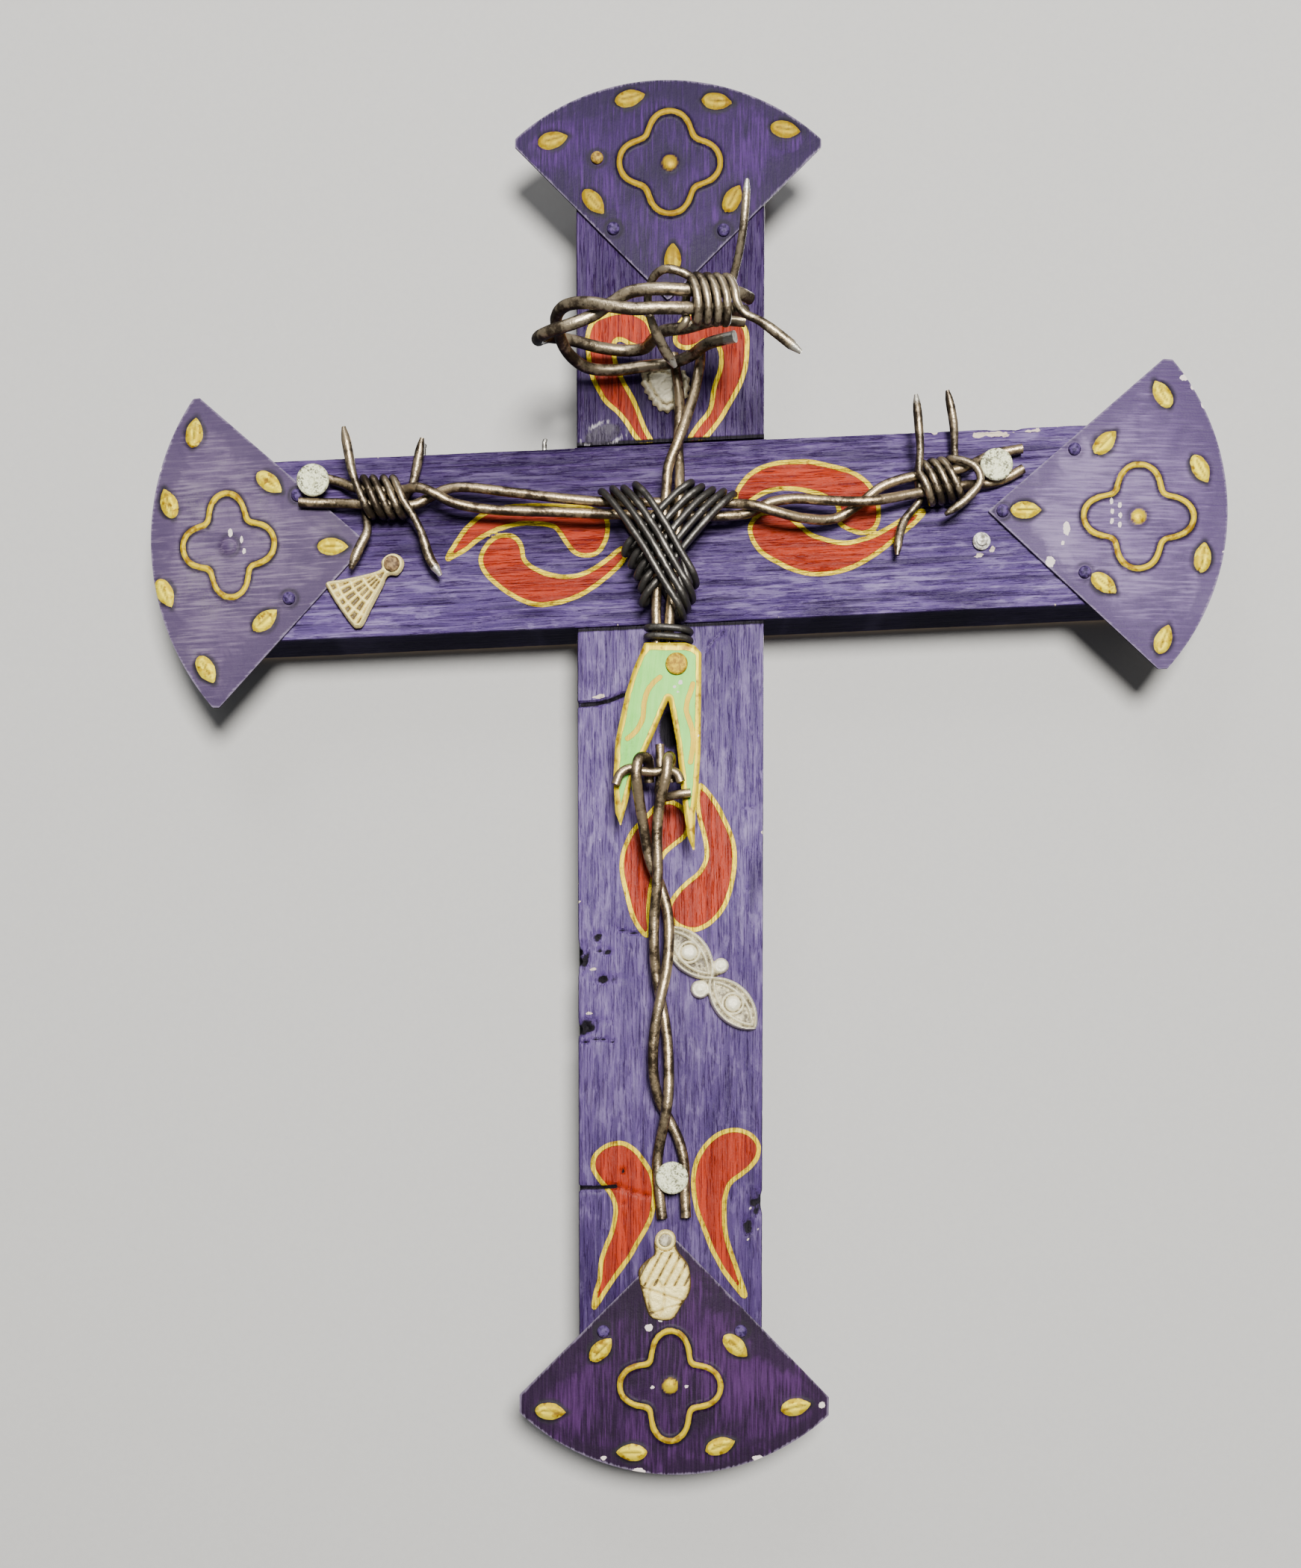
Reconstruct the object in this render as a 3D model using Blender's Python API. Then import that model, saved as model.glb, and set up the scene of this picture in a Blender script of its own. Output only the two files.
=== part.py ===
"""Wall crucifix: a painted board cross with tin fans, small cast charms and a figure of barbed wire.

The origin is on the flat back of the upright, where the centre lines of the two boards meet.
X runs to the right, Z up the wall, and the painted face looks towards -Y.
Routes of bent wire are lists of hand-set points (x, z, height above the painted face) in millimetres.
"""
import math

import bmesh
import bpy
from mathutils import Matrix, Vector

MM = 0.001

# Boards
BOARD_T = 0.0190
UPRIGHT_TOP = 0.0940
UPRIGHT_FOOT = 0.2110
UPRIGHT_TOP_W = 0.0452
UPRIGHT_FOOT_W = 0.0436
BAR_LEFT = 0.1120
BAR_RIGHT = 0.1190
BAR_W = 0.0430
BAR_TILT = math.radians(2.6)
LAP_DEPTH = 0.0095
EDGE_BEVEL = 0.0008
GAP = 0.0003

# Tin fans, all pressed in one pattern
TIN_T = 0.0006
RELIEF_H = 0.0008
LEAF_L = 0.0082
LEAF_W = 0.0044
FLOWER_AT = 0.0335
FLOWER_R = 0.0118
FLOWER_LINE = 0.0016
DOT_R = 0.0019

# Nails and tacks
TACK_R = 0.0015
TACK_H = 0.0009
TACK_SEAT = 0.0001
NAIL_HEAD_R = 0.00385
NAIL_HEAD_T = 0.0010
NAIL_SHANK_R = 0.0014
NAIL_DEPTH = 0.0120
BRAD_R = 0.0006
BRAD_L = 0.0030

# Wires
BIND_R = 0.00085
ARM_R = 0.0012
NECK_R = 0.00125
BARB_R = 0.00095
CROWN_R = 0.0014
LEG_R = 0.0013
HIP_R = 0.0011

# Charms and loincloth
CHARM_T = 0.0012
CLOTH_T = 0.0012
CLOTH_LIFT = 0.0082

PURPLE = (0.085, 0.045, 0.19)
DEEP_PURPLE = (0.045, 0.022, 0.115)
TIN_LILAC = (0.13, 0.075, 0.24)
GALVANISED = (0.52, 0.55, 0.48)
STEEL = (0.45, 0.45, 0.45)
DARK_WIRE = (0.075, 0.055, 0.035)
BLACK_WIRE = (0.03, 0.028, 0.027)
PALE_METAL = (0.62, 0.58, 0.45)
OLD_BRASS = (0.35, 0.22, 0.07)
GOLD_PAINT = (0.62, 0.38, 0.06)
MINT = (0.42, 0.62, 0.42)


def clear_scene():
    for item in list(bpy.data.objects):
        bpy.data.objects.remove(item, do_unlink=True)


def material(name, colour, roughness, metallic):
    made = bpy.data.materials.get(name) or bpy.data.materials.new(name)
    made.use_nodes = True
    shader = made.node_tree.nodes["Principled BSDF"]
    shader.inputs["Base Color"].default_value = (*colour, 1.0)
    shader.inputs["Roughness"].default_value = roughness
    shader.inputs["Metallic"].default_value = metallic
    return made


def add_object(name, mesh_builder, finish):
    """Turn a bmesh into a named object with its own material, smooth where it is round."""
    mesh = bpy.data.meshes.new(name)
    bmesh.ops.remove_doubles(mesh_builder, verts=mesh_builder.verts, dist=1e-7)
    bmesh.ops.recalc_face_normals(mesh_builder, faces=mesh_builder.faces)
    mesh_builder.to_mesh(mesh)
    mesh_builder.free()
    made = bpy.data.objects.new(name, mesh)
    made.data.materials.append(finish)
    bpy.context.scene.collection.objects.link(made)
    mesh.shade_smooth()
    mesh.set_sharp_from_angle(angle=math.radians(35))
    return made


def at(x, z, height):
    """Point at x and z on the cross, this far in front of the painted face; all in metres."""
    return Vector((x, -(BOARD_T + height), z))


def hide_cutter(cutter):
    cutter.hide_render = True
    cutter.display_type = "WIRE"
    return cutter


def boolean(target, other, operation):
    step = target.modifiers.new(other.name, "BOOLEAN")
    step.operation = operation
    step.object = other
    step.solver = "EXACT"
    step.use_self = operation == "UNION"
    hide_cutter(other)


def prism(outline, base, top):
    """Bmesh of a plate with this (x, z) outline between two heights above the painted face."""
    built = bmesh.new()
    low = [built.verts.new(at(x, z, base)) for x, z in outline]
    high = [built.verts.new(at(x, z, top)) for x, z in outline]
    built.faces.new(low)
    built.faces.new(high)
    for i in range(len(outline)):
        j = (i + 1) % len(outline)
        built.faces.new((low[i], low[j], high[j], high[i]))
    return built


def add_dome(built, x, z, radius, base, height, sides=10, flat=0.45):
    """A low round dome in two rings; flat is the share of the radius at the upper ring."""
    rings = []
    for share, lift in ((1.0, 0.0), (1.0, 0.35), (flat, 1.0)):
        rings.append([
            built.verts.new(at(x + radius * share * math.cos(a), z + radius * share * math.sin(a),
                               base + height * lift))
            for a in (2 * math.pi * i / sides for i in range(sides))])
    close_rings(built, rings)


def close_rings(built, rings):
    """Skin between rings of the same count, with both ends capped."""
    for lower, upper in zip(rings, rings[1:]):
        for i in range(len(lower)):
            j = (i + 1) % len(lower)
            built.faces.new((lower[i], lower[j], upper[j], upper[i]))
    built.faces.new(rings[0])
    built.faces.new(rings[-1])


# Bent wire

def smooth_path(points, per_span):
    """Catmull-Rom curve through the points, with this many steps in each span."""
    route = [Vector(p) for p in points]
    route = [2 * route[0] - route[1]] + route + [2 * route[-1] - route[-2]]
    curve = []
    for a, b, c, d in zip(route, route[1:], route[2:], route[3:]):
        t1 = max((b - a).length, 1e-6) ** 0.5
        t2 = t1 + max((c - b).length, 1e-6) ** 0.5
        t3 = t2 + max((d - c).length, 1e-6) ** 0.5
        for step in range(per_span):
            t = t1 + (t2 - t1) * step / per_span
            ab = a * (t1 - t) / t1 + b * t / t1
            bc = b * (t2 - t) / (t2 - t1) + c * (t - t1) / (t2 - t1)
            cd = c * (t3 - t) / (t3 - t2) + d * (t - t2) / (t3 - t2)
            abc = ab * (t2 - t) / t2 + bc * t / t2
            bcd = bc * (t3 - t) / (t3 - t1) + cd * (t - t1) / (t3 - t1)
            curve.append(abc * (t2 - t) / (t2 - t1) + bcd * (t - t1) / (t2 - t1))
    curve.append(route[-2])
    return curve


def route_mm(points):
    return [at(x * MM, z * MM, height * MM) for x, z, height in points]


def add_wire(name, path, radius, sides, finish, pointed=False):
    """Round wire along a path, with flat cut ends or ends cut to a slant point."""
    built = bmesh.new()
    rings = []
    normal = None
    last = len(path) - 1
    for i, point in enumerate(path):
        along = (path[min(i + 1, last)] - path[max(i - 1, 0)]).normalized()
        if normal is None:
            normal = along.orthogonal().normalized()
        normal = (normal - along * normal.dot(along)).normalized()
        across = along.cross(normal)
        size = radius * 0.3 if pointed and i in (0, last) else radius
        rings.append([built.verts.new(point + size * (math.cos(a) * normal + math.sin(a) * across))
                      for a in (2 * math.pi * k / sides for k in range(sides))])
    close_rings(built, rings)
    return add_object(name, built, finish)


def coil(centres, pitch, angles, reach_up, reach_out, slant=0.0, shift=0.0, per_turn=10):
    """Points of a wrap round the line through the centres, oval, leaning along it by slant.

    The angle starts at the top and turns towards the viewer; angles holds the first and the last
    in degrees, and the wrap moves one pitch along the line in each turn.
    """
    out = Vector((0.0, -1.0, 0.0))
    count = round((angles[1] - angles[0]) / 360 * per_turn)
    points = []
    for i in range(count + 1):
        degrees = angles[0] + (angles[1] - angles[0]) * i / count
        angle = math.radians(degrees)
        centre, along = walk(centres, shift + pitch * (degrees - angles[0]) / 360)
        front = (out - along * out.dot(along)).normalized()
        up = front.cross(along)
        points.append(centre + up * reach_up * math.cos(angle) + front * reach_out * math.sin(angle)
                      - along * slant * 0.5 * math.cos(angle))
    return points


def walk(points, distance):
    """Place and direction this far along a line of points, running on straight past its ends."""
    for i, (a, b) in enumerate(zip(points, points[1:])):
        length = (b - a).length
        if distance <= length or i == len(points) - 2:
            along = (b - a).normalized()
            return a + along * distance, along
        distance -= length


# Boards

def make_upright():
    half_top = UPRIGHT_TOP_W / 2
    half_foot = UPRIGHT_FOOT_W / 2
    outline = [(-half_top, UPRIGHT_TOP), (half_top, UPRIGHT_TOP),
               (half_foot, -UPRIGHT_FOOT), (-half_foot, -UPRIGHT_FOOT)]
    board = add_object("upright_board", prism(outline, -BOARD_T, 0.0),
                       material("painted_upright", PURPLE, 0.55, 0.0))
    bevel = board.modifiers.new("eased edges", "BEVEL")
    bevel.width = EDGE_BEVEL
    bevel.segments = 1
    lap = bmesh.new()
    bmesh.ops.create_cube(lap, size=1.0, matrix=Matrix.Diagonal(
        (UPRIGHT_TOP_W * 2, LAP_DEPTH * 2, BAR_W + 2 * GAP, 1.0)))
    notch = add_object("lap notch", lap, material("cutter", STEEL, 0.5, 0.0))
    notch.location = (0.0, -BOARD_T, 0.0)
    notch.rotation_euler = (0.0, -BAR_TILT, 0.0)
    boolean(board, notch, "DIFFERENCE")
    for label, z, length, depth in (("upper knot", -102 * MM, 7.5 * MM, 2.4 * MM),
                                    ("lower knot", -117 * MM, 4.5 * MM, 1.6 * MM)):
        knot = add_round_cutter(label, -UPRIGHT_TOP_W / 2 - 1.0 * MM, z, length / 2, depth)
        boolean(board, knot, "DIFFERENCE")
    add_nail_holes(board, (FOOT_NAIL,))
    return board


def add_round_cutter(name, x, z, radius, depth):
    """A broken hollow in a board's edge, cut by a squashed ball at the painted face."""
    ball = bmesh.new()
    bmesh.ops.create_icosphere(ball, subdivisions=1, radius=radius)
    made = add_object(name, ball, material("cutter", STEEL, 0.5, 0.0))
    made.location = at(x, z, 0.0)
    made.scale = ((depth + 1.0 * MM) / radius, 1.6, 1.0)
    return made


def make_crossbar():
    half = BAR_W / 2
    outline = [(-BAR_LEFT, half), (BAR_RIGHT, half), (BAR_RIGHT, -half), (-BAR_LEFT, -half)]
    bar = add_object("crossbar", prism(outline, -BOARD_T, 0.0),
                     material("painted_crossbar", PURPLE, 0.55, 0.0))
    bar.rotation_euler = (0.0, -BAR_TILT, 0.0)
    bevel = bar.modifiers.new("eased edges", "BEVEL")
    bevel.width = EDGE_BEVEL
    bevel.segments = 1
    lap = bmesh.new()
    back = BOARD_T - LAP_DEPTH + GAP
    bmesh.ops.create_cube(lap, size=1.0, matrix=Matrix.Diagonal(
        (UPRIGHT_TOP_W + 2 * GAP, back * 2, BAR_W * 2, 1.0)))
    notch = add_object("bar notch", lap, material("cutter", STEEL, 0.5, 0.0))
    boolean(bar, notch, "DIFFERENCE")
    chip = add_round_cutter("top edge chip", 80 * MM, half + 4.6 * MM, 6.5 * MM, 7.0 * MM)
    chip.location = at(80 * MM, half + 4.6 * MM, 0.0)
    boolean(bar, chip, "DIFFERENCE")
    add_nail_holes(bar, (LEFT_HAND_NAIL, RIGHT_HAND_NAIL))
    return bar


# Roofing nails: place of each head, and the holes that the shanks fill

LEFT_HAND_NAIL = (-84.6, 11.3)
RIGHT_HAND_NAIL = (77.0, 15.0)
FOOT_NAIL = (0.3, -153.7)
HEAD_LIFT = GAP + TIN_T + GAP + 2 * ARM_R + GAP


def add_nail_holes(board, places):
    for x, z in places:
        hole = bmesh.new()
        bmesh.ops.create_cone(hole, cap_ends=True, segments=8, radius1=NAIL_SHANK_R + GAP,
                              radius2=NAIL_SHANK_R + GAP, depth=2 * (NAIL_DEPTH + GAP),
                              matrix=Matrix.Rotation(math.pi / 2, 4, "X"))
        made = add_object("nail hole", hole, material("cutter", STEEL, 0.5, 0.0))
        made.location = at(x * MM, z * MM, 0.0)
        boolean(board, made, "DIFFERENCE")


def make_nail(name, place):
    """Galvanised roofing nail: a wide flat head on a round shank, driven into the board."""
    x, z = place[0] * MM, place[1] * MM
    built = bmesh.new()
    steps = ((NAIL_SHANK_R * 0.3, -NAIL_DEPTH), (NAIL_SHANK_R, -NAIL_DEPTH + 2 * NAIL_SHANK_R),
             (NAIL_SHANK_R, HEAD_LIFT), (NAIL_HEAD_R, HEAD_LIFT),
             (NAIL_HEAD_R, HEAD_LIFT + NAIL_HEAD_T * 0.7), (NAIL_HEAD_R * 0.88, HEAD_LIFT + NAIL_HEAD_T))
    sides = 16
    rings = [[built.verts.new(at(x + r * math.cos(a), z + r * math.sin(a), height))
              for a in (2 * math.pi * i / sides for i in range(sides))] for r, height in steps]
    close_rings(built, rings)
    return add_object(name, built, material("galvanised_head", GALVANISED, 0.55, 0.3))


# Tin fans

# apex x and z, reach to the middle of the rim, reach to the corners, half angle, way it points
FANS = {
    "top": (-0.6 * MM, 55.2 * MM, 52.5 * MM, 53.0 * MM, 45.0, 90.0),
    "left": (-72.2 * MM, -2.6 * MM, 51.6 * MM, 54.0 * MM, 44.4, 183.6),
    "right": (75.7 * MM, 5.0 * MM, 57.0 * MM, 56.8 * MM, 42.0, -0.95),
    "bottom": (-1.0 * MM, -170.3 * MM, 55.0 * MM, 56.8 * MM, 41.7, 271.4),
}
# distance from the apex, angle off the fan's middle, turn of the leaf against the middle
RIM_LEAVES = ((49.2 * MM, 36.0, 100.0), (49.2 * MM, 12.0, 94.0),
              (49.2 * MM, -12.0, 86.0), (49.2 * MM, -36.0, 80.0))
SIDE_LEAVES = ((29.5 * MM, 34.0, 42.0), (29.5 * MM, -34.0, -42.0))
APEX_LEAF = ((9.2 * MM, 2.0, 0.0),)
FAN_TACKS = {
    "top": ((21.4 * MM, 37.6), (21.2 * MM, -38.5), (37.8 * MM, 26.6)),
    "left": ((22.9 * MM, 31.8), (20.1 * MM, -37.8)),
    "right": ((25.2 * MM, 36.6), (3.4 * MM, 0.9), (27.2 * MM, -31.6)),
    "bottom": ((25.1 * MM, -38.1), (26.7 * MM, 40.0)),
}


def on_fan(fan, reach, angle):
    apex_x, apex_z, _, _, _, way = FANS[fan]
    turned = math.radians(way + angle)
    return apex_x + reach * math.cos(turned), apex_z + reach * math.sin(turned)


def fan_outline(fan, steps=20):
    """Two straight cuts from the apex and a rim arc through the corners and the rim's middle."""
    _, _, reach, corner_reach, half_angle, _ = FANS[fan]
    half = math.radians(half_angle)
    half_chord = corner_reach * math.sin(half)
    rise = reach - corner_reach * math.cos(half)
    arc_r = (half_chord ** 2 + rise ** 2) / (2 * rise)
    swing = math.asin(half_chord / arc_r)
    points = [on_fan(fan, 0.0, 0.0)]
    for i in range(steps + 1):
        a = swing - 2 * swing * i / steps
        along = reach - arc_r + arc_r * math.cos(a)
        across = arc_r * math.sin(a)
        points.append(on_fan(fan, math.hypot(along, across), math.degrees(math.atan2(across, along))))
    return points


def add_leaf(built, fan, reach, angle, turn, base):
    """A pressed leaf: a pointed oval with a ridge along its middle."""
    x, z = on_fan(fan, reach, angle)
    way = math.radians(FANS[fan][5] + turn)
    sides = 10
    rings = []
    for share, lift in ((1.0, -TIN_T / 2), (1.0, RELIEF_H * 0.25), (0.45, RELIEF_H)):
        ring = []
        for i in range(sides):
            a = 2 * math.pi * i / sides
            u = LEAF_L / 2 * share * math.cos(a)
            v = LEAF_W / 2 * share * math.sin(a) * (1.0 - 0.35 * math.cos(a) ** 2)
            ring.append(built.verts.new(at(x + u * math.cos(way) - v * math.sin(way),
                                           z + u * math.sin(way) + v * math.cos(way), base + lift)))
        rings.append(ring)
    close_rings(built, rings)


def flower_line(steps=32):
    """Closed line of the pressed flower with four lobes, round its own centre."""
    for i in range(steps):
        a = 2 * math.pi * i / steps
        yield FLOWER_R * (0.80 + 0.20 * math.cos(4 * a)), a


def add_flower(built, fan, base):
    """Raised quatrefoil line with its centre dot."""
    cx, cz = on_fan(fan, FLOWER_AT, 0.0)
    way = math.radians(FANS[fan][5])
    loops = []
    for inset, lift in ((-0.5, -TIN_T / 2), (-0.2, RELIEF_H), (0.2, RELIEF_H), (0.5, -TIN_T / 2)):
        loops.append([built.verts.new(at(cx + (r + inset * FLOWER_LINE) * math.cos(a + way),
                                         cz + (r + inset * FLOWER_LINE) * math.sin(a + way),
                                         base + lift)) for r, a in flower_line()])
    count = len(loops[0])
    for inner, outer in zip(loops, loops[1:] + loops[:1]):
        for i in range(count):
            j = (i + 1) % count
            built.faces.new((inner[i], inner[j], outer[j], outer[i]))
    add_dome(built, cx, cz, DOT_R, base - TIN_T / 2, RELIEF_H + TIN_T / 2, sides=8)


def make_fan(fan):
    base = GAP
    top = GAP + TIN_T
    sheet = add_object("tin_fan_" + fan, prism(fan_outline(fan), base, top),
                       material("tin_" + fan, DEEP_PURPLE if fan in ("top", "bottom") else TIN_LILAC,
                                0.45, 0.1))
    pressed = bmesh.new()
    leaves = RIM_LEAVES + SIDE_LEAVES + (() if fan == "bottom" else APEX_LEAF)
    for reach, angle, turn in leaves:
        add_leaf(pressed, fan, reach, angle, turn, top)
    add_flower(pressed, fan, top)
    relief = add_object("pressed pattern " + fan, pressed, material("cutter", STEEL, 0.5, 0.0))
    boolean(sheet, relief, "UNION")
    for number, (reach, angle) in enumerate(FAN_TACKS[fan], start=1):
        x, z = on_fan(fan, reach, angle)
        seat_floor = top - TACK_SEAT
        seat = add_object("tack seat", prism(circle(x, z, TACK_R + GAP, 12), seat_floor, top + 2 * TACK_H),
                          material("cutter", STEEL, 0.5, 0.0))
        boolean(sheet, seat, "DIFFERENCE")
        gilt = fan == "top" and number == 3
        dome = bmesh.new()
        add_dome(dome, x, z, TACK_R, seat_floor + GAP, TACK_H + TACK_SEAT)
        finish = material("gilt_tack", GOLD_PAINT, 0.5, 0.2) if gilt else material(
            "painted_tack", PURPLE, 0.5, 0.2)
        add_object("fan_tack_" + fan + "_" + str(number), dome, finish)
    return sheet


# Charms

def almond(cx, cz, length, width, way, steps=14):
    """Pointed oval outline round (cx, cz) with its long axis at the angle way."""
    points = []
    for i in range(steps):
        a = 2 * math.pi * i / steps
        u = length / 2 * math.cos(a)
        v = width / 2 * math.sin(a) * (1.0 - 0.3 * math.cos(a) ** 2)
        points.append((cx + u * math.cos(way) - v * math.sin(way),
                       cz + u * math.sin(way) + v * math.cos(way)))
    return points


def circle(cx, cz, radius, sides):
    angles = [2 * math.pi * i / sides for i in range(sides)]
    return [(cx + radius * math.cos(a), cz + radius * math.sin(a)) for a in angles]


def unite(name, finish, first, others):
    """One object from overlapping pieces, joined by Boolean unions in turn."""
    made = add_object(name, first, finish)
    for i, piece in enumerate(others):
        other = add_object(name + " piece " + str(i), piece, finish)
        boolean(made, other, "UNION")
    return made


def make_heart_charm():
    """Domed shell in a heart's outline, with a scalloped rim, pinned behind the neck wires."""
    cx, cz, half_w, half_h = -0.9 * MM, 34.4 * MM, 6.2 * MM, 5.6 * MM
    sides = 28
    built = bmesh.new()
    rings = []
    for share, lift in ((1.0, 0.0), (1.0, 0.5 * MM), (0.78, 0.9 * MM), (0.4, 1.4 * MM)):
        ring = []
        for i in range(sides):
            a = 2 * math.pi * i / sides
            heart = 1.0 - 0.07 * math.sin(a) - 0.10 * abs(math.cos(a)) * math.sin(-a)
            scallop = 1.0 + 0.035 * (-1) ** i * share
            ring.append(built.verts.new(at(cx + half_w * share * heart * scallop * math.cos(a),
                                           cz + half_h * share * scallop * math.sin(a), GAP + lift)))
        rings.append(ring)
    close_rings(built, rings)
    return add_object("heart_charm", built, material("pale_cast_heart", PALE_METAL, 0.4, 0.6))


def make_fan_charm():
    """Flat triangle with a raised rim, hung by its ring on a brown tack."""
    base = GAP + TIN_T + GAP
    ring_x, ring_z = -66.2 * MM, -8.0 * MM
    body = [(-82.0 * MM, -12.2 * MM), (-75.4 * MM, -22.6 * MM), (-73.2 * MM, -22.6 * MM),
            (-67.0 * MM, -10.6 * MM), (-65.6 * MM, -9.2 * MM), (-66.8 * MM, -7.4 * MM),
            (-68.8 * MM, -9.0 * MM)]
    cx = sum(x for x, _ in body) / len(body)
    cz = sum(z for _, z in body) / len(body)
    hollow = [(cx + (x - cx) * 0.62, cz + (z - cz) * 0.62) for x, z in body[:4]]
    finish = material("pale_cast_fan", PALE_METAL, 0.4, 0.6)
    made = unite("fan_charm", finish, prism(body, base, base + CHARM_T),
                 [prism(circle(ring_x, ring_z, 2.7 * MM, 12), base, base + CHARM_T * 0.9)])
    floor, clear = base + CHARM_T * 0.6, base + CHARM_T * 1.5
    recess = add_object("fan charm recess", prism(hollow, floor, clear), finish)
    boolean(made, recess, "DIFFERENCE")
    pin = bmesh.new()
    add_dome(pin, ring_x, ring_z, 1.9 * MM, base + CHARM_T * 0.9 + GAP, 0.9 * MM)
    add_object("fan_charm_tack", pin, material("brown_tack", OLD_BRASS, 0.5, 0.5))
    return made


EYES_WAY = math.radians(-48.5)


def make_eyes_charm():
    """A pair of eyes in one casting, joined end to end, with a bead on each side of the joint."""
    finish = material("pale_cast_eyes", PALE_METAL, 0.4, 0.6)
    places = ((4.4 * MM, -100.2 * MM), (14.8 * MM, -112.4 * MM))
    plates = []
    for x, z in places:
        plates.append(prism(almond(x, z, 16.5 * MM, 9.2 * MM, EYES_WAY), GAP, GAP + CHARM_T))
    others = plates[1:]
    for x, z in places:
        others.append(prism(almond(x, z, 10.0 * MM, 5.4 * MM, EYES_WAY, 12), GAP + CHARM_T / 2,
                            GAP + CHARM_T + 0.5 * MM))
        pupil = bmesh.new()
        add_dome(pupil, x, z, 1.6 * MM, GAP + CHARM_T, 1.0 * MM, sides=8)
        others.append(pupil)
    for x, z, r in ((12.0 * MM, -103.3 * MM, 1.9 * MM), (7.0 * MM, -109.0 * MM, 2.3 * MM)):
        bead = bmesh.new()
        add_dome(bead, x, z, r, GAP, CHARM_T + 0.4 * MM, sides=10)
        others.append(bead)
    return unite("eyes_charm", finish, plates[0], others)


def make_hand_charm():
    """Small open hand on a ring, pinned above the bottom fan, fingers marked by grooves."""
    base = GAP + TIN_T + GAP
    finish = material("pale_cast_hand", PALE_METAL, 0.4, 0.6)
    ring_x, ring_z = -1.3 * MM, -168.6 * MM
    palm = [(x * MM, z * MM) for x, z in (
        (-3.0, -170.6), (-5.4, -172.4), (-7.7, -177.2), (-5.4, -186.2), (-4.1, -187.4), (-0.4, -187.8),
        (1.6, -185.8), (4.7, -180.8), (2.9, -171.8), (0.6, -170.4))]
    made = unite("hand_charm", finish, prism(palm, base, base + CHARM_T),
                 [prism(circle(ring_x, ring_z, 2.5 * MM, 12), base, base + CHARM_T * 0.9)])
    groove_l, groove_w = 6.5 * MM, 0.5 * MM
    for i in range(4):
        gx = (-4.6 + 2.1 * i) * MM
        gz = (-175.2 + 0.5 * i) * MM
        way = math.radians(62.0)
        ends = [(gx + s * groove_l / 2 * math.cos(way) + t * groove_w / 2 * math.sin(way),
                 gz + s * groove_l / 2 * math.sin(way) - t * groove_w / 2 * math.cos(way))
                for s, t in ((-1, -1), (1, -1), (1, 1), (-1, 1))]
        floor, clear = base + CHARM_T * 0.55, base + CHARM_T * 1.5
        groove = add_object("finger groove " + str(i), prism(ends, floor, clear), finish)
        boolean(made, groove, "DIFFERENCE")
    pin = bmesh.new()
    add_dome(pin, ring_x, ring_z, 1.5 * MM, base + CHARM_T * 0.9 + GAP, 0.8 * MM)
    add_object("hand_charm_tack", pin, material("pale_tack", PALE_METAL, 0.5, 0.5))
    return made


def make_small_nails():
    """Two brads left in the bar's top edge, and a small nail whose charm is gone."""
    steel = material("bright_brad", STEEL, 0.35, 0.9)
    normal = Vector((-math.sin(BAR_TILT), 0.0, math.cos(BAR_TILT)))
    along = Vector((math.cos(BAR_TILT), 0.0, math.sin(BAR_TILT)))
    for number, place in enumerate((-58.3 * MM, -29.3 * MM), start=1):
        foot = along * place + normal * (BAR_W / 2 + GAP) + Vector((0.0, -BOARD_T + 3.0 * MM, 0.0))
        path = [foot, foot + normal * BRAD_L * 0.7, foot + normal * BRAD_L + along * BRAD_R]
        add_wire("brad_" + str(number), path, BRAD_R, 6, steel)
    stray = bmesh.new()
    add_dome(stray, 74.1 * MM, -2.1 * MM, 2.1 * MM, GAP, 1.5 * MM, sides=9, flat=0.6)
    add_object("stray_nail", stray, material("pale_stray", PALE_METAL, 0.45, 0.6))


# The wire figure

ARM_ROUTE_1 = [
    (-81.6, 12.4, 1.6), (-78.4, 11.4, 2.0), (-75.6, 9.9, 3.4), (-72.6, 9.0, 4.1), (-69.0, 8.8, 4.1),
    (-65.2, 8.9, 4.1), (-62.8, 9.0, 4.3), (-60.0, 8.9, 6.4), (-57.6, 8.2, 7.1), (-55.0, 7.0, 7.0),
    (-51.0, 5.2, 6.4), (-42.0, 3.9, 5.6), (-27.1, 3.3, 5.7), (-15.5, 2.8, 5.7), (0.0, 2.5, 5.7),
    (13.0, 2.4, 5.5), (18.4, 3.4, 4.6), (23.4, 5.8, 4.7), (29.2, 6.6, 5.2), (35.6, 6.0, 6.0),
    (42.0, 5.4, 7.0), (48.0, 5.7, 6.8), (53.6, 7.0, 5.5), (58.6, 8.2, 4.6), (64.0, 9.2, 4.2),
    (69.0, 10.0, 4.0), (73.0, 10.9, 2.2), (77.0, 11.6, 1.6), (80.6, 13.0, 1.6), (83.8, 14.8, 1.7)]
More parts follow.
